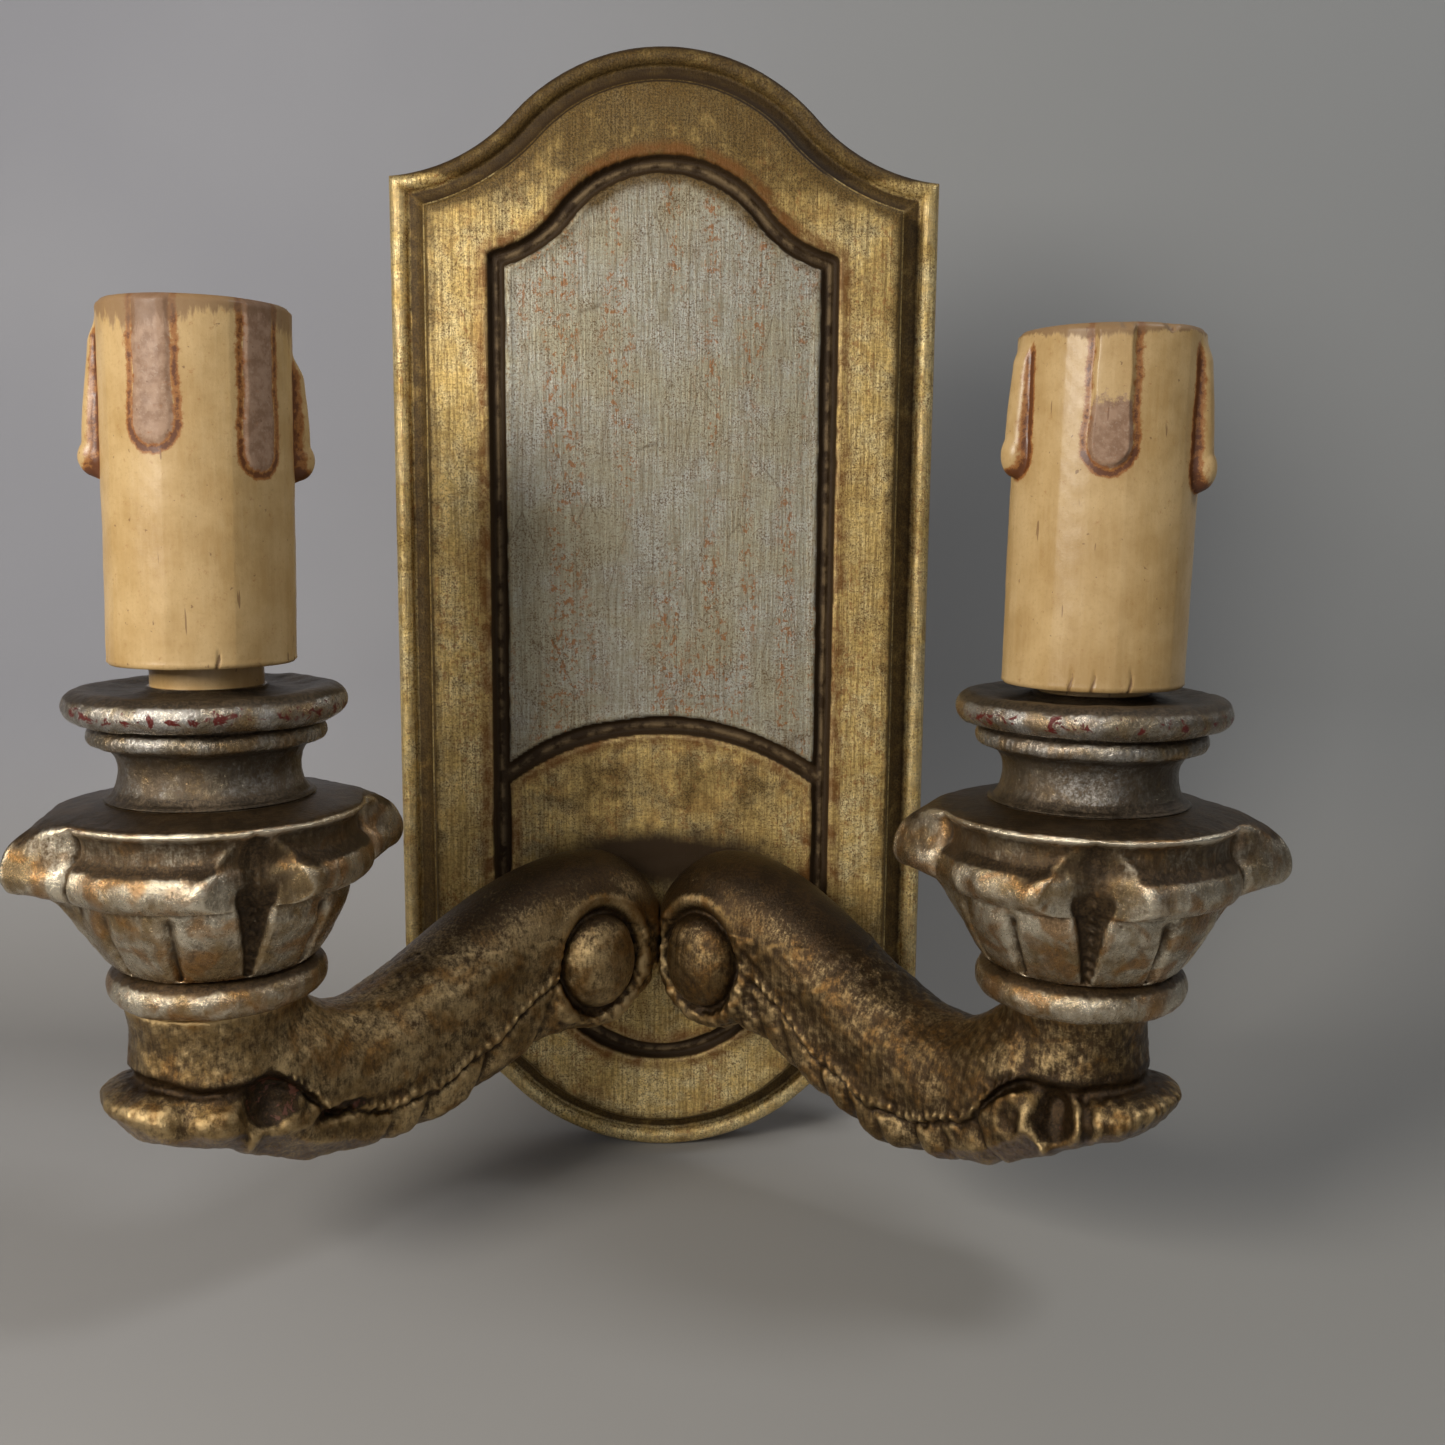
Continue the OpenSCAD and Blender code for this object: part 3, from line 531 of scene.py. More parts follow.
def carved_front():
    """Moulding and carved field in one skin, closed behind."""
    back, front = front_section()
    squeeze = np.linspace(1, 0, 26)[1:-1]
    rings = []
    for t, depth in back[::-1] + front:
        outline = plate_outline(t)
        level = np.full(len(outline), -depth)
        rings.append(np.column_stack([outline[:, 0], level, outline[:, 1] + PLATE_MID]))
    for k in squeeze:
        rings.append(rings[len(back) + len(front) - 1] * [k, 1, 1])
    for k in (0.6, 0.2, 0.02):
        rings.insert(0, rings[0] * [k, 1, 1])
    count = len(rings[0])
    points = np.vstack(rings)
    field = np.isclose(points[:, 1], -FIELD)
    flat = points[field][:, [0, 2]] - [0, PLATE_MID]
    wobble = ripples(points[field], (0.25, 26, 5), (0.08, 5, 6))
    frame_line = distance_to(groove_outline(GROOVE_W / 2), flat)
    arch_line = np.hypot(flat[:, 0], flat[:, 1] - (ARCH_CROWN - ARCH_R - PLATE_MID)) - ARCH_R
    inside = frame_line < 0
    line = np.minimum(np.abs(frame_line), np.where(inside, np.abs(arch_line + wobble), 99)) + wobble * 0.6
    half = GROOVE_W / 2
    cut = np.sqrt(np.clip(1 - (line / half) ** 2, 0, 1))
    floor_stripe = hump(line, 0, 0.55)
    lifted = hump(line, half + 0.9, 0.9)
    values = {key: np.zeros(len(points)) for key in ("groove", "panel", "stripe", "toned_and_shaded")}
    values["groove"][field] = np.clip(cut + 0.17 * ramp(line, half + 4.4, half), 0, 1)
    values["panel"][field] = ramp(-frame_line, 0.5, 1.5) * ramp(arch_line, 0.5, 1.5)
    values["stripe"][field] = floor_stripe * (line < half)
    edge = -distance_to(plate_outline(10.6), flat)
    by_line = ramp(np.abs(line), half + 3.5, half + 0.5)
    values["toned_and_shaded"][field] = (0.85 * ramp(flat[:, 1], 80, 112) * ramp(edge, 32, 16)
                              + 0.55 * ramp(edge, 3, 0) + 0.40 * by_line * ramp(flat[:, 1], 40, 100))
    moved = GROOVE_DEPTH * cut - 0.75 * floor_stripe * (line < half) - 0.18 * lifted
    points[field, 1] += moved + ripples(points[field], (0.16, 30, 7), (0.05, 6, 8))
    rim = (points[:, 1] < -BOARD_T - 0.4) & ~field
    points[rim, 1] += 0.1 + ripples(points[rim], (0.10, 17, 9), (0.05, 4, 10))
    quads = lattice(len(rings), count, False)
    quads = quads if (face_normals(points, quads)[-1, 1] < 0) else quads[:, ::-1]
    up = point_normals(points, quads)[:, 2]
    lip = np.arange(len(points)) < count * (len(back) + 15)   # the rings behind the cove
    on_top = ramp(points[:, 2] - PLATE_MID, SHOULDER - 2, SHOULDER + 1)
    # Painted shadow: the field is darkened in a patch just above the arms, where they shade it.
    painted_shadow_over_arms = hump(points[:, 0], 0, 32) * hump(points[:, 2], 77, 8)
    cavity_and_painted_light = hollowness(points, quads, 4)
    on_field = np.maximum(cavity_and_painted_light, -0.12) + 0.40 * painted_shadow_over_arms
    # Painted shade: the moulding is darker along its top, on faces that look up, and in the cove and step
    # behind the lip.
    on_edge = np.clip(cavity_and_painted_light, 0.22 * on_top - 0.3 * (1 - on_top), 0.14) + 0.12 * ramp(up, 0.3, 0.7)
    values["cavity_and_painted_light"] = np.where(field, on_field, on_edge) + 0.10 * (~field & ~lip)
    # Painted shade, laid in as dark tone: the cove and step behind the lip and the top of the moulding.
    values["toned_and_shaded"] += ~field * (np.where(lip, 0.0, 0.9) + 0.9 * on_top)
    # Painted shade: the middle of the field above the arms is toned darker.
    values["toned_and_shaded"] += 0.50 * field * hump(points[:, 2], 96, 16) * ramp(np.abs(points[:, 0]), 42, 34)
    half_way = count // 2
    caps = []
    for start, way in ((0, 1), ((len(rings) - 1) * count, -1)):
        strip = [[start, start + 1, start + count - 1]]
        strip += [[start + i, start + i + 1, start + count - i - 1, start + count - i]
                  for i in range(1, half_way - 1)]
        strip.append([start + half_way - 1, start + half_way, start + half_way + 1])
        a, b, c = points[strip[20][:3]]
        caps += [f[::way] if np.cross(b - a, c - a)[1] > 0 else f[::-way] for f in strip]
    return build("carved_front", points, quads.tolist() + caps, values)


def prism(name, outline, y0, y1):
    """Closed prism between two depths from an outline of [x, height]."""
    n = len(outline)
    ends = [np.column_stack([outline[:, 0], np.full(n, -y), outline[:, 1]]) for y in (y0, y1)]
    points = np.vstack(ends)
    faces = [[i, n + i, n + (i + 1) % n, (i + 1) % n] for i in range(n)]
    faces += [list(range(n)), list(range(n, 2 * n))[::-1]]
    return build(name, points, faces)


def oblong(x, z0, z1):
    return np.array([[-x, z0], [-x, z1], [x, z1], [x, z0]], float)


def disc(x, z, r, n=40):
    a = np.linspace(0, 2 * math.pi, n, endpoint=False)
    return np.column_stack([x + r * np.sin(a), z + r * np.cos(a)])


def apply_all(piece):
    """Turns a piece's modifiers into its own mesh."""
    graph = bpy.context.evaluated_depsgraph_get()
    mesh = bpy.data.meshes.new_from_object(piece.evaluated_get(graph))
    piece.modifiers.clear()
    piece.data = mesh


def cut_from(piece, cutters):
    """Takes each cutter's solid away from the piece."""
    for cutter in cutters:
        modifier = piece.modifiers.new("cut", "BOOLEAN")
        modifier.object = cutter
        modifier.operation = "DIFFERENCE"
        modifier.solver = "EXACT"
    apply_all(piece)
    for cutter in cutters:
        bpy.data.objects.remove(cutter, do_unlink=True)


def back_board():
    """Board and inner slab, with the wiring recess, the hanger's seat and the hook's pocket cut in."""
    hang = -FLOOR / MM
    board = prism("back_board", plate_outline(0, 24, 20, 1) + [0, PLATE_MID], 0, BOARD_T)
    slab = prism("slab", plate_outline(9.4, 24, 20, 1) + [0, PLATE_MID], BOARD_T - 1, SLAB_T)
    union = board.modifiers.new("join", "BOOLEAN")
    union.object, union.operation, union.solver = slab, "UNION", "EXACT"
    apply_all(board)
    bpy.data.objects.remove(slab, do_unlink=True)
    recess_d = 13.5
    cutters = [prism("recess", oblong(30, 40, 86), -1, recess_d),
               prism("seat", oblong(21, hang - 8, hang + 14), -1, 1.6),
               prism("pocket", disc(0, hang, 6.5), -1, 8),
               prism("slot", oblong(6.5, hang, hang + 8), -1, 8.02)]
    for x in (-9, 9):
        cutters.append(prism("wire", disc(x, 66, 3.5), recess_d - 0.5, SLAB_T + 1))
    cut_from(board, cutters)
    soft = board.modifiers.new("arris", "BEVEL")
    soft.width, soft.segments, soft.limit_method, soft.angle_limit = 0.6 * MM, 2, "ANGLE", math.radians(50)
    apply_all(board)
    board.data.set_sharp_from_angle(angle=math.radians(35))
    return board


# ---------------------------------------------------------------- arms

CANDLE = {side: (box_mm("holder_" + side)[0] + box_mm("holder_" + side)[1]) / 2 for side in SIDES}
ARM_ROOT = np.array([6.0, -FIELD])          # where the middle plane of an arm meets the field, in plan
REACH = np.array([abs(CANDLE["right"][0]), CANDLE["right"][1]]) - ARM_ROOT
AXIS_S = float(np.linalg.norm(REACH))       # distance along the arm of the candle's axis
ALONG = REACH / AXIS_S
ACROSS = np.array([ALONG[1], -ALONG[0]])    # towards the viewer
NECK_TOP = box_mm("cup_right")[0][2]
# Along the arm: distance, middle height, half height, half width
ARM_STATIONS = [[-6, 57.5, 4, 6], [-3, 58, 9, 9], [2, 59.5, 15.5, 12], [10, 61, 19.3, 13],
                [20, 62, 19, 13], [30, 60, 19, 12.5], [40, 55.5, 19.5, 12.3], [50, 50.5, 19, 12.3],
                [60, 45.5, 18, 12.5], [70, 42.5, 15.8, 12.8], [79, 42.2, 14.8, 13.3], [88, 45.2, 16, 14.5],
                [95, 46.5, 14.5, 15.6], [104, 46, 9, 16.8], [114, 47.8, 7.8, 14.5], [120, 49, 7, 10.5],
                [124, 49.5, 4.2, 5]]
# Cuts between the lobes of each arm's leaf border: distance along it, half width, depth
LOBE_CUTS = {"left": [[36, 1.8, 0.6], [51, 2.4, 1.3], [65, 2.8, 1.3], [73.5, 1.5, 0.5]],
             "right": [[33, 1.7, 0.4], [41, 1.6, 0.5], [50, 2.2, 1.0], [57.5, 2.6, 1.3], [65, 1.3, 0.4],
                       [73.5, 3.0, 1.4], [82, 1.4, 0.4], [92, 2.0, 0.9]]}
# Scoops in the border: distance along it, height, half width, half height, depth
SCOOPS = {"left": [[100.5, 48.0, 5.6, 6.0, 2.0], [94, 46, 4, 4.5, 0.8], [84, 40.6, 7.0, 2.0, 1.6],
                   [110.4, 46.2, 4.6, 4.6, -1.2]],
          "right": [[106.2, 46.0, 4.6, 5.2, 2.9], [113.2, 46, 1.6, 6, 1.0], [97, 44.0, 2.6, 3.6, 0.7]]}
# The bud in each arm's volute: distance along the arm, height
EYES = {"left": [20.0, 58.2], "right": [15.0, 57.4]}
BUD = [9.2, 11.0]                           # half width and half height of a bud
NECK_SIDE = [[44, 14.5], [50, 13.2], [51.6, 13.9], [53, 14.6], [54.6, 14.2], [60, 13.6], [NECK_TOP, 14.3]]
NECK_EXTRA = {"left": 2.0, "right": -0.3}   # how much thicker each neck is than that
NECK_DRIFT = {"left": 1.3, "right": 0.0}    # how far the neck stands off the candle's axis


def arm_lines(s, side):
    """Heights of an arm's top and bottom, its half width, and the cosine of its slope, at distances s."""
    sign = SIDES[side]
    middle, half, width = spline(ARM_STATIONS, s)
    swell = np.sin(np.radians(np.clip((s - 15) * 2, 0, 180))) ** 2
    middle = middle - sign * 2 * swell
    half = half + (0.8 * swell if side == "left" else 0)
    slope = np.gradient(middle, s) if s.ndim == 1 and len(s) > 1 else 0
    return middle + half, middle - half, width, 1 / np.sqrt(1 + slope ** 2)


def border_place(s, q):
    """Distance along the leaf border, which turns round the foot of the neck at its outer end."""
    turn = np.arctan2(np.abs(q), s - AXIS_S)
    return np.where(s < AXIS_S, s, AXIS_S + 17 * (math.pi / 2 - turn))


def border_top(s, bottom):
    """Height of the ragged line that parts an arm's bar from the leaf border under it."""
    height = bottom + 10.2 + 0.7 * np.sin(s / 6.3) + 0.4 * np.sin(s / 2.1 + 1) + 5.0 * ramp(s, 48, 33)
    height = height + 0.22 * np.sin(s * 1.9 + 2 * np.sin(s / 4)) + 0.12 * np.sin(s * 3.7)
    return height + (51.2 - height) * ramp(s, 84, 101)


def border_cuts(p, side):
    """Depth of the cuts between lobes; each is steep on its outer side and long on its inner side."""
    total = np.zeros_like(p)
    for at, half, depth in LOBE_CUTS[side]:
        total = np.maximum(total, depth * hump(p, at, np.where(p > at, 0.45, 1.3) * half))
    return total


def scoop_depth(p, z, side):
    total = np.zeros_like(p)
    for at, height, half_p, half_z, depth in SCOOPS[side]:
        away = np.hypot((p - at) / half_p, (z - height) / half_z)
        total = total + depth * ramp(away, 1.25, 0.35)
    return total


def arm_field(side):
    """Field that is negative inside an arm, on a grid along the arm, across it and up."""
    step = 0.45
    low = np.array([-9.0, -19.5, 22.0])
    s1, q1, z1 = [np.arange(a, b, step) for a, b in zip(low, (129.0, 19.6, 88.0))]
    top, bottom, width, cosine = [v[:, None, None] for v in arm_lines(s1, side)]
    s, q, z = s1[:, None, None], np.abs(q1)[None, :, None], z1[None, None, :]
    rho = np.hypot(s - AXIS_S, q)
    outer = ramp(np.cos(np.arctan2(q, s - AXIS_S)), 0.45, 0.95)
    past = ramp(s, 80, 96)

    def oval(centre, half_h, half_w, power):
        k = (np.abs((z - centre) / half_h) ** power + (q / half_w) ** power) ** (1 / power)
        return (k - 1) * np.minimum(half_h, half_w)

    # round bar, which runs from the volute into the neck, and the deeper border under it
    bar_h = np.minimum(width / cosine, (top - bottom) / 2)
    bar_mid = top - bar_h
    bar = oval(bar_mid, bar_h, width, 2.0) + np.maximum(0, s - AXIS_S + 5)
    under_top = np.where(s < 90, bar_mid, np.minimum(bar_mid, 50))
    under = oval((under_top + bottom) / 2, (under_top - bottom) / 2, width * (0.94 + 0.06 * past), 4.0)
    under = under + np.maximum(0, s - AXIS_S - 2) + 0.25 * np.maximum(0, 26 - s)
    body = smooth_min(bar, under, 1.6)
    # volute: a thick rounded disc round the bud
    eye_s, eye_z = EYES[side]
    wheel_s, wheel_r = (eye_s - 2.6, 17.4) if side == "left" else (eye_s - 0.8, 15.4)
    wheel = np.hypot((s - wheel_s) / wheel_r, (z - eye_z + 0.6) / 16.4)
    disc_k = (wheel ** 4 + (q / 13.2) ** 4) ** 0.25
    body = smooth_min(body, (disc_k - 1) * 13, 1.5)
    # neck, and the ledge that wraps its foot
    neck_r = spline(NECK_SIDE, z)[0] + NECK_EXTRA[side]
    neck = np.maximum(np.hypot(s - AXIS_S - NECK_DRIFT[side], q) - neck_r, 44 - z)
    body = smooth_min(body, neck, 6.0 * ramp(AXIS_S + 3 - s, 0, 12) + 0.5)
    cos_turn = np.maximum((s - AXIS_S) / np.maximum(rho, 1), 0)
    ledge_r = 17.0 + (4.3 if side == "left" else 2.0) * cos_turn ** 2
    ledge_top = 50.6 + 1.6 * outer
    ledge_low = np.maximum(bottom + (1.2 if side == "right" else -1.0) * outer, 36)
    ledge_mid, ledge_h = (ledge_top + ledge_low) / 2, np.maximum((ledge_top - ledge_low) / 2, 2)
    reach = np.where(s < AXIS_S, q, rho)
    ledge_k = np.hypot((z - ledge_mid) / ledge_h, np.maximum(0, (reach - ledge_r + 9.5) / 9.5))
    ledge = (ledge_k - 1) * 6 + np.maximum(0, AXIS_S - 3 - s) * 0.5
    body = smooth_min(body, ledge, 1.5)
    # flat facet along the underside of the outer end
    facet = 0.8 * (reach - np.where(s < AXIS_S, width, ledge_r) + 0.6) - 0.6 * (z - bottom - 5.5)
    body = np.maximum(body, facet - 6 * ramp(s, 82, 66) - 9 * ramp(s, AXIS_S - 2, AXIS_S + 9))
    # dark gap between the neck's foot and the ledge
    line = border_top(s, bottom) + 1.4 * outer
    gap = np.hypot(reach - neck_r - 1.6, (z - line) * 1.15) - 1.9 + 0.16 * np.maximum(0, AXIS_S - 4 - s)
    body = np.maximum(body, -gap)
    # details are worked out only near the surface
    near = np.abs(body) < 5
    body[near] += arm_details(*[np.broadcast_to(v, body.shape)[near] for v in (s, q, z, bottom)], side)
    body = np.maximum(body, np.where(s > AXIS_S - 22, z - NECK_TOP, -99))
    # cut back to the field and to the middle plane, and drilled for the stem and the flex
    x = ARM_ROOT[0] + s * ALONG[0] + q1[None, :, None] * ACROSS[0]
    y = ARM_ROOT[1] + s * ALONG[1] + q1[None, :, None] * ACROSS[1]
    body = np.maximum(np.maximum(body, y + FIELD - 0.2), 0.12 - x)
    body = np.maximum(body, -np.maximum(rho - 5.05, 40.5 - z))
    start, corner = np.array([9, -13.5, 66.0]), np.array([*(ARM_ROOT + REACH), 44.0])
    length = np.linalg.norm(corner - start)
    away = [v - c for v, c in zip((x, y, z), start)]
    run = sum(v * w for v, w in zip(away, (corner - start) / length))
    off = np.sqrt(np.maximum(sum(v ** 2 for v in away) - run ** 2, 0))
    body = np.maximum(body, -np.maximum(off - 3.5, run - length))
    return body, low, step


def arm_details(s, q, z, bottom, side):
    """How far the carving lies below (or, negative, above) the plain shape of an arm."""
    p = border_place(s, q)
    rise = z - bottom
    below = border_top(s, bottom) - z
    on_arm = ramp(s, 27, 33) * ramp(AXIS_S - s, 1, 7)
    sides = ramp(q, 3, 7)
    beads = 0.6 + 0.4 * np.sin(s * 3.1 + 2 * np.sin(s / 3))
    incised = (0.9 + 0.3 * np.sin(s * 0.7)) * hump(below, 0.2, 0.8)
    detail = (incised - 0.8 * beads * hump(below, -1.5, 0.9)) * on_arm * sides
    detail += 0.7 * ramp(below, -0.2, 0.6) * ramp(s, 27, 33) * ramp(s, 92, 84)
    on_border = ramp(below, -0.3, 1.2) * ramp(s, 24, 30)
    slant = p + 0.45 * (rise - 4)
    detail += border_cuts(slant, side) * on_border * ramp(q, 4, 8) * ramp(p, 100, 94)
    detail += scoop_depth(p, z, side) * ramp(q, 2, 6) * ramp(s, 60, 70)
    nose = ramp(p, 116, 119) * ramp(np.abs(z - 46.5), 6, 3)
    striae = 0.13 if side == "right" else 0.05
    detail += (striae * np.sin(p * 3.4 + 1.6 * np.sin(p) + 0.6 * np.sin(z)) - 1.0) * nose
    # the volute: a bud in a deep crease, inside a rolled rim
    eye_s, eye_z = EYES[side]
    bud = np.hypot((s - eye_s) / BUD[0], (z - eye_z) / BUD[1])
    spiral = np.arctan2(z - eye_z, s - eye_s)
    volute = 1.3 * ramp(bud, 1.24, 1.04) - 5.6 * np.sqrt(np.clip(1 - bud ** 2, 0, 1)) * (bud < 1)
    volute += (0.5 + 0.5 * np.sin(spiral * 2 + 1)) * hump(bud, 1.06, 0.05)
    volute -= 0.9 * hump(bud, 1.38, 0.16) * (1 - 0.9 * hump(spiral, 0.3, 0.8))
    detail += volute * ramp(q, 5, 8) * ramp(bud, 1.85, 1.6)
    return detail


def carved_arm(side):
    field, low, step = arm_field(side)
    local, faces = surface_net(field, low, step)
    local = local + (soften(local, faces, 2) - local) * 0.6
    flat = ARM_ROOT + local[:, :1] * ALONG + local[:, 1:2] * ACROSS
    points = np.column_stack([flat[:, 0] * SIDES[side], flat[:, 1], local[:, 2]])
    faces = outward(points, faces)
    normal = point_normals(points, faces)
    seated = (points[:, 1] > -FIELD - 0.3) | (points[:, 2] > NECK_TOP - 0.3)
    bore = np.hypot(local[:, 0] - AXIS_S, local[:, 1]) < 6
    rough = ripples(points, (0.26, 9, 21 + SIDES[side]), (0.13, 3.1, 24), (0.07, 1.6, 27))
    eye_s, eye_z = EYES[side]
    bud = np.hypot((local[:, 0] - eye_s) / BUD[0], (local[:, 2] - eye_z) / BUD[1])
    rough = rough * (1 + 1.1 * ramp(local[:, 0], 36, 26)) * (0.35 + 0.65 * ramp(bud, 1.0, 1.15))
    points += normal * (rough * ~(seated | bore))[:, None]
    s, q, z = local[:, 0], np.abs(local[:, 1]), local[:, 2]
    bottom = arm_lines(np.sort(s), side)[1][np.argsort(np.argsort(s))]
    rise = z - bottom
    place = border_place(s, q)
    line = border_top(s, bottom)
    scoop = ramp(scoop_depth(place, z, side), 0.5, 1.3) * ramp(q, 4, 8) * ramp(s, 60, 70)
    gap_z = line + 1.4 * ramp((s - AXIS_S) / np.maximum(np.hypot(s - AXIS_S, q), 1), 0.45, 0.95)
    # Painted shade: the gap under the neck's foot and the crease round each bud are made extra dark.
    deep = 0.9 * hump(z - gap_z, 0.4, 1.5) * ramp(s, 88, 97) + 0.15 * hump(bud, 1.07, 0.09) * ramp(q, 5, 8)
    # Painted shade: faces that look up are darker towards the plate, and the whole right arm is a little
    # darker.
    top_painted_shade = 0.28 * ramp(normal[:, 2], 0.3, 0.9) * ramp(s, 75, 35)
    shaded = 0.09 if side == "right" else 0.0
    values = {"cavity_and_painted_light": hollowness(points, faces, 8) + deep + 0.4 * scoop + top_painted_shade + shaded,
              "worn": scoop * (1.0 if side == "left" else 0.35),
              "under": ramp(-normal[:, 2], 0.30, 0.60) * ramp(s, 66, 80) * ramp(7.5 - rise, 0, 1.5)}
    piece = build("carved_arm_" + side, points, faces, values)
    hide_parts("arm_" + side)
    return piece


# ---------------------------------------------------------------- cups and pans

# Sections of a cup as [radius, height], paired point by point: plain, through a leaf, and through a notch
PLAIN_SIDE = [[19.6, 105.1], [23.6, 104.5], [27.2, 103.9], [28.3, 103.3], [28.5, 102.6], [27.3, 101.3],
              [26.9, 99.4], [27.4, 97.3], [29.2, 95.4], [29.9, 93.0], [29.4, 90.6], [27.7, 88.9],
              [25.7, 88.6], [25.3, 87.0], [24.8, 84.4], [23.6, 81.8], [22.2, 79.2], [20.9, 76.8],
              [19.6, 74.8], [18.6, 73.8]]
LEAF_SIDE = [[19.6, 105.1], [24.2, 104.5], [28.2, 103.9], [30.6, 103.0], [32.8, 101.8], [35.2, 100.0],
             [37.0, 97.8], [37.9, 95.4], [37.8, 93.0], [36.5, 91.0], [34.2, 90.2], [31.6, 89.6],
             [29.6, 88.6], [27.8, 87.0], [26.0, 84.6], [24.4, 81.8], [22.8, 79.2], [21.3, 76.8],
             [19.8, 74.8], [18.6, 73.8]]
NOTCH_SIDE = [[19.6, 105.1], [23.6, 104.5], [27.2, 103.9], [28.2, 103.3], [27.9, 102.6], [26.7, 101.2],
              [26.0, 99.3], [25.7, 97.0], [25.6, 95.0], [25.5, 92.8], [25.3, 90.6], [25.0, 89.0],
              [24.6, 88.0], [24.0, 86.4], [23.2, 84.1], [22.2, 81.6], [21.2, 79.2], [20.2, 76.8],
              [19.2, 74.8], [18.5, 73.8]]
# Half width in degrees of a leaf and of a notch at rows of the section
LEAF_HALF = [[0, 12], [3, 17], [9, 17], [11, 14], [13, 9], [16, 5], [19, 3]]
NOTCH_HALF = [[0, 1], [3, 2], [5, 6.5], [7, 13], [9, 18], [10, 18.5], [11, 14], [12, 9], [15, 7],
              [18, 3.6], [19, 1.5]]
CUP_TURN = {"left": 34.0, "right": -12.0}
LEAF_REACH = {"left": 0.91, "right": 0.90}   # how far the leaf on the left of each cup reaches, as a share
TORUS_MID, TORUS_R, TORUS_OUT = 69.8, 3.75, 20.4
CUP_BORE = 5.4


def section_rows(rows, each):
    """The rows of a section joined by a smooth curve, with so many points for each row."""
    at = np.linspace(0, len(rows) - 1, (len(rows) - 1) * each + 1)
    return np.stack(spline([[i, *row] for i, row in enumerate(rows)], at), -1)


def painted_shade_on_tops(points, faces):
    """Painted shade: a darker colour on faces that look up."""
    return 0.42 * ramp(point_normals(points, faces)[:, 2], 0.35, 0.85)


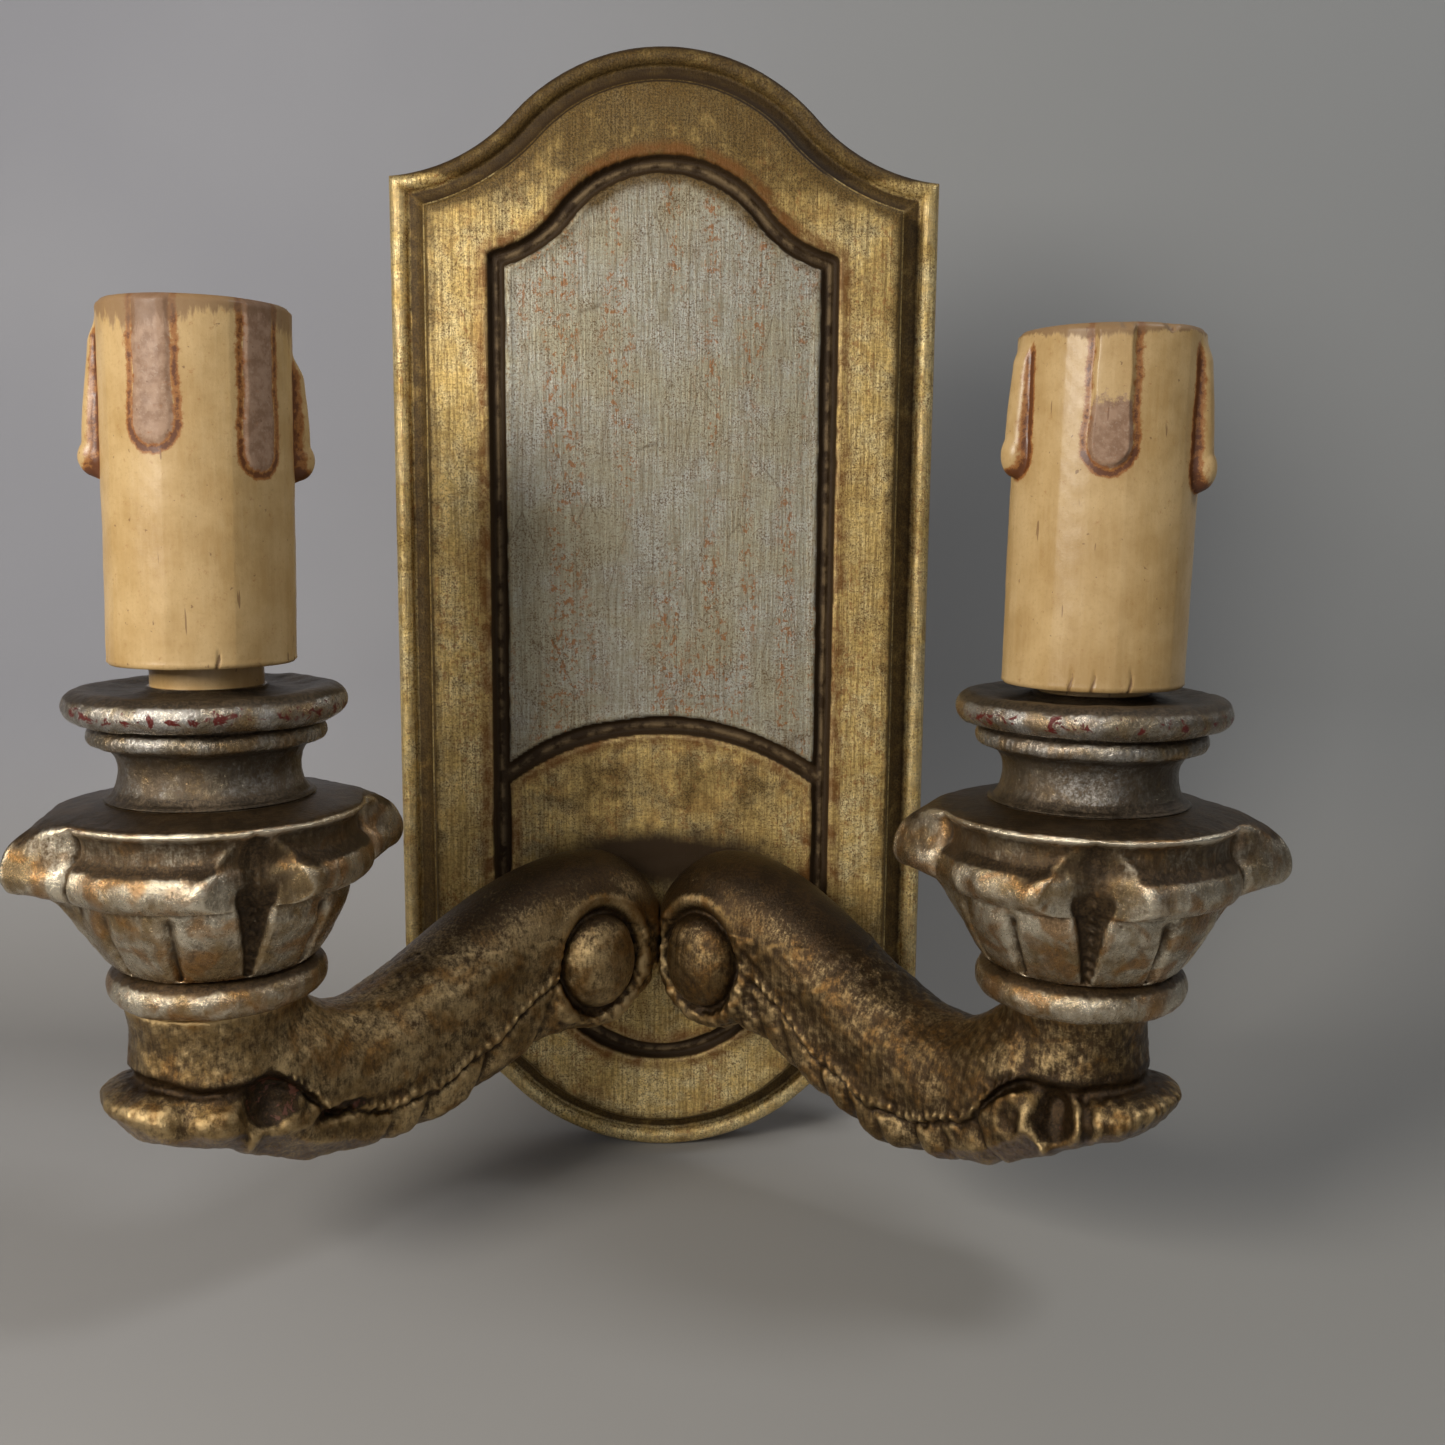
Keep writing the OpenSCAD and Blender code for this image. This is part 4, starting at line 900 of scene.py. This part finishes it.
def turned_cup(side):
    angles = 540
    theta = np.linspace(0, 2 * math.pi, angles, endpoint=False)
    from_leaf = (np.degrees(theta) + 90) % 180 - 90
    from_notch = np.degrees(theta) % 180 - 90
    reach = np.where(np.cos(theta) < 0, LEAF_REACH[side], 1.0)
    plain, leaf, notch = [section_rows(rows, 6) for rows in (PLAIN_SIDE, LEAF_SIDE, NOTCH_SIDE)]
    rows = len(plain)
    v = np.linspace(0, len(PLAIN_SIDE) - 1, rows)[:, None]
    leaf_half, notch_half = spline(LEAF_HALF, v)[0], spline(NOTCH_HALF, v)[0]
    t = np.abs(from_leaf) / leaf_half
    on_leaf = np.clip(1 - t, 0, 1) ** 0.85
    u = np.abs(from_notch) / notch_half
    in_notch = np.clip(1 - u, 0, 1) ** 0.8
    to_leaf, to_notch = leaf - plain, notch - plain
    radius = plain[:, :1] + to_leaf[:, :1] * on_leaf * reach + to_notch[:, :1] * in_notch
    height = plain[:, 1:] + to_leaf[:, 1:] * on_leaf + to_notch[:, 1:] * in_notch
    arc = np.radians(from_notch) * radius
    # cut beside each leaf, and its midrib
    radius = radius - 0.9 * hump(t, 1.04, 0.08) * ramp(v, 3.2, 4.4) * ramp(11.5 - v, 0, 1.5)
    midrib = hump(np.radians(from_leaf) * radius, 0, 0.7)
    radius = radius + 0.35 * midrib * ramp(v, 3, 5) * ramp(16 - v, 0, 2)
    # twisted rib between two creases in each notch, and the roll's ends turned up beside it
    on_rib = ramp(v, 4.5, 7.5) * ramp(18.8 - v, 0, 1)
    on_bowl = ramp(v, 8.5, 10.5) * ramp(18.8 - v, 0, 1)
    twist = np.sin(2 * math.pi * height / 2.5 + 1.4 * arc + 0.9 * np.sin(height * 0.8)) * ramp(v, 8, 11)
    wedge_half = 1.3 + 3.0 * ramp(v, 18.5, 9)
    wedge = ramp(np.abs(arc), wedge_half, wedge_half - 1.1) * on_bowl
    radius = radius + (0.35 + 0.45 * twist) * hump(arc, 0.3, 0.75) * on_rib - 0.9 * wedge
    radius = radius + 0.55 * hump(u, 1.18, 0.20) * ramp(v, 5.0, 7.2) * ramp(11.2 - v, 0, 1.2)
    # flutes of the bowl
    bowl = ramp(v, 12.4, 13.8) * ramp(18.9 - v, 0, 0.8)
    for at, depth in ((35, 1.6), (-35, 1.6), (67, 1.1), (-67, 1.1)):
        off = np.radians(from_notch - at * (1 - 0.004 * (height - 80)))
        radius = radius - depth * hump(off * radius, 0, 0.75 + 0.05 * (height - 74)) * bowl
    ticks = 0.07 * np.sin(theta * 97 + 2.2 * np.sin(theta * 7)) * hump(v, 3.4, 0.7)
    dents = 0.22 * np.sin(theta * 19 + 1.5 * np.sin(theta * 5)) * hump(v, 9, 2.0)
    radius = radius + (ticks + dents) * (on_leaf == 0)
    outer = np.stack([radius, height], -1)
    ring = np.radians(np.linspace(82, -82, 26))
    torus = np.column_stack([TORUS_OUT + TORUS_R * (np.cos(ring) - 1), TORUS_MID + TORUS_R * np.sin(ring)])
    inner = np.array([[14.5, NECK_TOP], [CUP_BORE, NECK_TOP], [CUP_BORE, 75], [CUP_BORE, 95],
                      [CUP_BORE, box_mm("cup_right")[1][2]], [12, 105.5], [18.6, 105.45]])
    lathe = [np.broadcast_to(part[:, None, :], (len(part), angles, 2)) for part in (torus, inner)]
    grid = np.concatenate([outer] + lathe)
    turn = theta + math.radians(CUP_TURN[side])
    centre = CANDLE[side]
    points = np.stack([grid[..., 0] * np.cos(turn), grid[..., 0] * np.sin(turn), grid[..., 1]], -1)
    count = len(grid)
    points = points.reshape(-1, 3)
    faces = outward(points, lattice(count, angles, True))
    shown = np.repeat(np.arange(count) < rows + len(torus), angles)
    wave = ripples(points, (0.20, 11, 31 + SIDES[side]), (0.07, 3, 34), (0.03, 1.3, 36))
    wave *= shown * ramp(np.abs(points[:, 2] - 105.4), 0.1, 1.5)
    points += point_normals(points, faces) * wave[:, None]
    painted_shade_and_highlight = np.zeros(grid.shape[:2])
    # Painted shade in the concave band under the top arris, inside each notch and in the wedge of its rib.
    band = ramp(v, 3.8, 4.8) * ramp(v, 7.8, 6.6)
    painted_shade_and_highlight[:rows] = 0.10 * band * (1 - 0.6 * on_leaf) + 0.20 * ramp(in_notch, 0.3, 1.0) + 0.22 * wedge
    # Painted highlight: a bright band along the top arris, away from the leaves.
    painted_shade_and_highlight[:rows] -= 0.55 * hump(v, 3.5, 0.8) * (1 - on_leaf)
    joint = hump(np.hypot(points[:, 0], points[:, 1]), 19.4, 1.1) * ramp(points[:, 2], 104, 105)
    cavity_and_painted_light = hollowness(points, faces, 6) + painted_shade_on_tops(points, faces) + painted_shade_and_highlight.ravel() + 0.9 * joint
    worn = 0.30 * hump(points[:, 2], 94, 5)
    points[:, :2] += centre[:2]
    piece = build("turned_cup_" + side, points, faces, {"cavity_and_painted_light": cavity_and_painted_light, "worn": worn})
    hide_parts("cup_" + side)
    return piece


PAN_SIDE = [[19.2, 105.5], [18.4, 106.3], [17.5, 107.6], [16.9, 109.6], [16.8, 111.6], [17.2, 113.4],
            [18.2, 114.8], [19.9, 115.5], [21.3, 116.0], [21.9, 117.0], [21.9, 118.2], [21.4, 119.2],
            [20.9, 119.8], [21.6, 119.9], [23.4, 119.9], [24.9, 120.8], [25.8, 122.2], [25.85, 123.7],
            [25.1, 125.2], [23.7, 126.2], [22.2, 126.45], [20.4, 126.2], [17.5, 125.6], [14.0, 125.6],
            [11.6, 126.2], [10.4, 126.5]]


def turned_pan(side):
    angles = 480
    theta = np.linspace(0, 2 * math.pi, angles, endpoint=False)
    side_rows = section_rows(PAN_SIDE, 4)
    low, high = box_mm("pan_" + side)
    seat = high[2] - 5
    inner = np.array([[9, high[2]], [9, seat], [CUP_BORE, seat], [CUP_BORE, 113], [CUP_BORE, low[2]],
                      [12, low[2]]])
    section = np.vstack([side_rows, inner])
    r, z = section[:, :1], section[:, 1:]
    ring = hump(z, 117.3, 1.1) * (np.abs(r - 21.5) < 1)
    chatter = np.sin(theta * 88 + 3 * np.sin(theta * 5)) * (0.4 + 0.6 * np.sin(theta * 11 + 2) ** 2)
    r = r + 0.07 * ring * chatter
    z = np.broadcast_to(z, r.shape)
    points = np.stack([r * np.cos(theta), r * np.sin(theta), z], -1).reshape(-1, 3)
    faces = outward(points, lattice(len(section), angles, True))
    row = np.repeat(np.arange(len(section)), angles)
    shown = (row > 3) & (row < len(side_rows) - 3)
    wave = ripples(points, (0.28, 16, 41 + SIDES[side]), (0.10, 4, 44), (0.04, 1.5, 46)) - 0.25
    points += point_normals(points, faces) * (wave * shown)[:, None]
    cavity_and_painted_light = hollowness(points, faces, 5) + painted_shade_on_tops(points, faces) + 1.2 * ramp(107.2 - points[:, 2], 0, 1.2)
    cavity_and_painted_light += 0.05 * ramp(points[:, 2], 115.5, 113)
    rim = hump(points[:, 2], 122.6, 1.9) * (np.hypot(points[:, 0], points[:, 1]) > 23)
    points[:, :2] += CANDLE[side][:2]
    piece = build("turned_pan_" + side, points, faces, {"cavity_and_painted_light": cavity_and_painted_light, "worn": rim})
    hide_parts("pan_" + side)
    return piece


# ---------------------------------------------------------------- sleeves

# Drips of wax: angle from the front towards +X, where it starts and ends below the rim, half width,
# how proud, and how far up from its foot the paint is rubbed off
DRIPS = {"left": [[-76, 3, 30, 2.7, 3.9, 0], [-7, 0, 26, 3.9, 0.3, 40], [57, 0, 30, 3.6, 0.35, 40],
                  [112, 8, 30, 2.8, 3.9, 0], [172, 0, 26, 3.0, 2.6, 0], [228, 0, 29.5, 3.0, 3.1, 0]],
         "right": [[-80, 2, 25.5, 3.3, 3.2, 0], [-13, 0, 25.5, 4.1, 1.1, 8], [60, 2, 28, 3.2, 3.5, 0],
                   [126, 0, 24, 3.0, 2.7, 0], [192, 0, 29.5, 3.0, 2.9, 0]]}


def painted_sleeve(side):
    name = "sleeve_" + side
    low, high = box_mm(name)
    foot, length = low[2], high[2] - low[2]
    outer_r, bore_r, wide_r, deep = 17.0, 12.6, 13.45, 16.0
    angles = 420
    theta = np.linspace(0, 2 * math.pi, angles, endpoint=False)
    plain_rows, drip_rows = np.linspace(1, length - 40, 34), np.linspace(length - 39.6, length - 1.1, 96)
    edge_rows = [length - 0.7, length - 0.3, length - 0.05]
    rows = np.concatenate([[0.0, 0.15, 0.5], plain_rows, drip_rows, edge_rows])
    z = np.repeat(rows[:, None], angles, 1)
    bevel = 0.5 * ramp(z, 0.6, 0) + 0.8 * ramp(z, length - 1.0, length)
    lift, outline, rubbed = np.zeros_like(z), np.zeros_like(z), np.zeros_like(z)
    for at, start, down, half, proud, bare in DRIPS[side]:
        off = (theta - math.radians(at - 90) + math.pi) % (2 * math.pi) - math.pi
        x = off * (outer_r + proud * 0.5)
        end = length - down + half
        width = half * (0.92 + 0.08 * ramp(z, end + 12, end - 1) + 0.03 * np.sin(z * 0.6 + at))
        d = np.hypot(x, np.maximum(end - z, 0)) / width
        ridge = np.sqrt(np.clip(1 - d ** 2, 0, 1))
        drop = np.sqrt(np.clip(1 - (x / half) ** 2 - ((z - end) / (half + 1.2)) ** 2, 0, 1))
        hangs = proud > 2
        begun = ramp(z, length - start + 1, length - start - 4) if start else 1.0
        thick = proud * (0.35 + 0.45 * ramp(z, end + 26, end)) * begun if hangs else proud
        bump = np.maximum(thick * ridge, proud * drop) if hangs else thick * ramp(d, 1.0, 0.72)
        lift = np.maximum(lift, bump)
        edge = (d - 1) * width
        burnt = 1.35 * begun if hangs else 0.85 + 0.35 * ramp(z, end + 3, end - 2)
        outline = np.maximum(outline, hump(edge, 0.6, 1.0 if hangs else 0.75) * burnt)
        rubbed = np.maximum(rubbed, ramp(d, 1.05, 0.92) * ramp(end + bare - z, -5, 5) * (bare > 0))
    lean = (0.57 if side == "left" else 0.35) * (z - length / 2) / (length / 2)
    side_turn = (theta * 9 / (2 * math.pi) + 0.3) % 1 - 0.5
    facets = 0.16 * (1 / np.cos(side_turn * 2 * math.pi / 9) - 1) * outer_r
    radius = outer_r - bevel + facets + lift * ramp(length - z, 0, 1.5)
    heights = z
    if side == "right":
        chips = 0.9 * hump(np.degrees(theta), 292, 3.5) + 0.5 * hump(np.degrees(theta), 262, 2)
        heights = z - chips * ramp(z, length - 2.5, length)
    cracks = np.zeros_like(z)
    rng = np.random.default_rng(60 + SIDES[side])
    for at, tall in zip(rng.uniform(0, 2 * math.pi, 9), rng.uniform(2, 6, 9)):
        off = ((theta - at + math.pi) % (2 * math.pi) - math.pi) * outer_r
        cracks = np.maximum(cracks, hump(off, 0.25 * np.sin(z * 1.3 + at), 0.22) * ramp(tall - z, 0, 1.2))
    radius = radius - 0.35 * cracks
    outer = np.stack([radius * np.cos(theta) + lean, radius * np.sin(theta), heights], -1)
    bore = [[15.6, length], [14.2, length - 0.02], [bore_r + 0.5, length], [bore_r, length - 0.6]]
    bore += [[bore_r, h] for h in np.linspace(length - 2, deep + 2, 10)]
    bore += [[bore_r, deep]] + [[wide_r, h] for h in (deep, deep - 1, deep / 2, 1)] + [[wide_r + 0.3, 0]]
    inner = np.array([[[r * math.cos(a), r * math.sin(a), h] for a in theta] for r, h in bore])
    points = np.concatenate([outer, inner]).reshape(-1, 3)
    count = len(rows) + len(bore)
    faces = outward(points, lattice(count, angles, True))
    shown = np.repeat(np.arange(count) < len(rows), angles)
    wave = ripples(points, (0.10, 13, 51 + SIDES[side]), (0.03, 3, 54)) - 0.12
    inside_rows = (points[:, 2] > 0.6) & (points[:, 2] < length - 0.8)
    points += point_normals(points, faces) * (wave * shown * inside_rows)[:, None]
    stain = (11.0 if side == "left" else 4.5) * (0.72 + 0.28 * np.sin(3 * theta + 1))
    rim = np.maximum(ramp(z, length - stain, length) * 0.9, ramp(z, length - 1, length - 0.4))
    dirt = 0.55 * ramp(3.5 - z, 0, 3.5) + cracks
    outside = {"outline": outline, "rubbed": rubbed, "rim": rim, "foot": dirt}
    inside = np.zeros((len(bore), angles))
    values = {key: np.concatenate([v, inside]).ravel() for key, v in outside.items()}
    values["rim"][len(rows) * angles:][:4 * angles] = np.repeat([1.0, 1.0, 1.0, 0.8], angles)
    points[:, 2] += foot
    points[:, :2] += CANDLE[side][:2]
    piece = build("painted_" + name, points, faces, values, body=name)
    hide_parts(name)
    return piece


# ---------------------------------------------------------------- stage

def aim(obj, target):
    obj.rotation_euler = (Vector(target) - obj.location).to_track_quat("-Z", "Y").to_euler()


def soft_light(name, place, target, size, power, colour):
    data = bpy.data.lights.new(name, "AREA")
    data.shape, data.size, data.size_y = "RECTANGLE", size[0], size[1]
    data.energy, data.color = power, colour
    light = bpy.data.objects.new(name, data)
    light.location = place
    bpy.context.scene.collection.objects.link(light)
    aim(light, target)


def set_stage():
    """Camera at the photograph's angle, soft lights, and a pale sweep of floor and backdrop."""
    camera = bpy.data.objects.new("camera", bpy.data.cameras.new("camera"))
    camera.data.lens, camera.data.sensor_width = 34.88, 36
    bpy.context.scene.collection.objects.link(camera)
    camera.location = (0.0088, -0.3503, FLOOR + 0.1571)
    pan, pitch, roll = -0.0173, 0.1398, 0.0101
    forward = Vector((-math.sin(pan) * math.cos(pitch), math.cos(pan) * math.cos(pitch), -math.sin(pitch)))
    right = forward.cross(Vector((0, 0, 1))).normalized()
    up = right.cross(forward)
    tilted_right = math.cos(roll) * right + math.sin(roll) * up
    tilted_up = -math.sin(roll) * right + math.cos(roll) * up
    turn = Matrix((tilted_right, tilted_up, -forward)).transposed()
    camera.rotation_euler = turn.to_euler()
    bpy.context.scene.camera = camera

    behind, bend, steps = 0.16, 0.10, 24
    line = [(-3.0, 0.0)] + [(behind - bend + bend * math.sin(a), bend * (1 - math.cos(a)))
                            for a in np.linspace(0, math.pi / 2, steps)] + [(behind, 2.2)]
    points = [(x, y, FLOOR + z) for y, z in line for x in (-3.0, 3.0)]
    faces = [(2 * i, 2 * i + 1, 2 * i + 3, 2 * i + 2) for i in range(len(line) - 1)]
    mesh = bpy.data.meshes.new("sweep")
    mesh.from_pydata(points, [], faces)
    mesh.shade_smooth()
    sweep = bpy.data.objects.new("sweep", mesh)
    bpy.context.scene.collection.objects.link(sweep)
    m = Look("sweep")
    place = m.node("ShaderNodeSeparateXYZ", {0: m.place})
    cool = m.mix(m.between(m.noise(120, 2, 0.5), 0.3, 0.7), (0.375, 0.378, 0.410), (0.405, 0.408, 0.435))
    warm = m.between(place.outputs["X"], -0.16, 0.16)
    tint = m.mix(m.times(warm, 0.8), cool, (0.375, 0.380, 0.365))
    low = m.between(place.outputs["Z"], FLOOR + 0.10, FLOOR)
    tint = m.mix(m.times(low, 0.7), tint, (0.365, 0.350, 0.320))
    mesh.materials.append(m.set(Base_Color=tint, Roughness=0.85))
    see_through = m.node("ShaderNodeMixShader", {
        0: m.node("ShaderNodeNewGeometry").outputs["Backfacing"], 1: m.shader.outputs[0],
        2: m.node("ShaderNodeBsdfTransparent").outputs[0]})
    m.tree.links.new(see_through.outputs[0], m.tree.nodes["Material Output"].inputs["Surface"])

    world = bpy.data.worlds.new("studio")
    bpy.context.scene.world = world
    world.use_nodes = True
    world.node_tree.nodes["Background"].inputs["Color"].default_value = (0.80, 0.86, 1.0, 1)
    world.node_tree.nodes["Background"].inputs["Strength"].default_value = 0.06
    bpy.context.scene.view_settings.view_transform = "Standard"
    aimed = (0, -0.04, FLOOR + 0.11)
    soft_light("key", (-0.36, -0.46, FLOOR + 0.34), aimed, (0.22, 0.22), 2.8, (1.0, 0.95, 0.88))
    soft_light("overhead", (0.52, -0.24, FLOOR + 0.80), aimed, (0.22, 0.22), 1.8, (0.96, 0.97, 1.0))
    soft_light("fill", (0.10, -0.80, FLOOR + 0.30), aimed, (0.7, 0.5), 0.6, (0.94, 0.96, 1.0))


set_stage()

# ---------------------------------------------------------------- pieces and their materials

ARM_LEAF = aged_leaf(
    "silvered_arm", bright=(0.60, 0.43, 0.21), tone=(0.27, 0.172, 0.068), warm=(0.27, 0.135, 0.036),
    dark=(0.026, 0.014, 0.0045), bole=(0.10, 0.028, 0.010), bole_at=0.72, dirt=0.04, speckle=1.7,
    hairy=1.1, gloss=0.27)
CUP_LEAF = aged_leaf(
    "silvered_cup", bright=(0.92, 0.82, 0.63), tone=(0.40, 0.28, 0.14), warm=(0.46, 0.225, 0.062),
    dark=(0.038, 0.023, 0.010), bole=(0.20, 0.055, 0.018), bole_at=0.78, dirt=0.03, speckle=1.1,
    hairy=0.5, gloss=0.18)
PAN_LEAF = aged_leaf(
    "silvered_pan", bright=(0.76, 0.73, 0.67), tone=(0.37, 0.30, 0.20), warm=(0.42, 0.26, 0.10),
    dark=(0.046, 0.033, 0.020), bole=(0.12, 0.013, 0.008), bole_at=0.715, dirt=0.10, speckle=1.5,
    hairy=0.25, gloss=0.18)
PAINT = candle_paint()

front = carved_front()
front.data.materials.append(gilded_wood())
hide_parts("backplate")
board = back_board()
board.data.materials.clear()
board.data.materials.append(bare_wood())
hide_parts("backplate")

for side in SIDES:
    carved_arm(side).data.materials.append(ARM_LEAF)
    turned_cup(side).data.materials.append(CUP_LEAF)
    turned_pan(side).data.materials.append(PAN_LEAF)
    painted_sleeve(side).data.materials.append(PAINT)

STEEL = plain_metal("steel", (0.55, 0.55, 0.56), (0.30, 0.27, 0.23), 0.42)
BRASS = plain_metal("brass", (0.72, 0.52, 0.24), (0.33, 0.20, 0.08), 0.30)
BAKELITE = plain_plastic("bakelite", (0.022, 0.018, 0.015), (0.045, 0.034, 0.026), 0.32)
NYLON = plain_plastic("nylon", (0.74, 0.72, 0.66), (0.62, 0.57, 0.46), 0.5)
SHEATH = plain_plastic("flex_sheath", (0.05, 0.05, 0.05), (0.09, 0.085, 0.08), 0.55)
CARRIED = {"hanger_plate": STEEL, "hanger_screws": STEEL, "block_screw": STEEL, "arm_screws": STEEL,
           "washer": STEEL, "lock_screw": STEEL, "terminal_screws": BRASS, "stem": BRASS, "nut": BRASS,
           "shell": BRASS, "contact": BRASS, "terminal_block": NYLON, "holder": BAKELITE, "flex": SHEATH,
           "collar": PAINT}
for name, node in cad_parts.items():
    kind = name.removesuffix("_left").removesuffix("_right")
    if kind in CARRIED:
        for socket in node.material_slots:
            socket.material = CARRIED[kind]
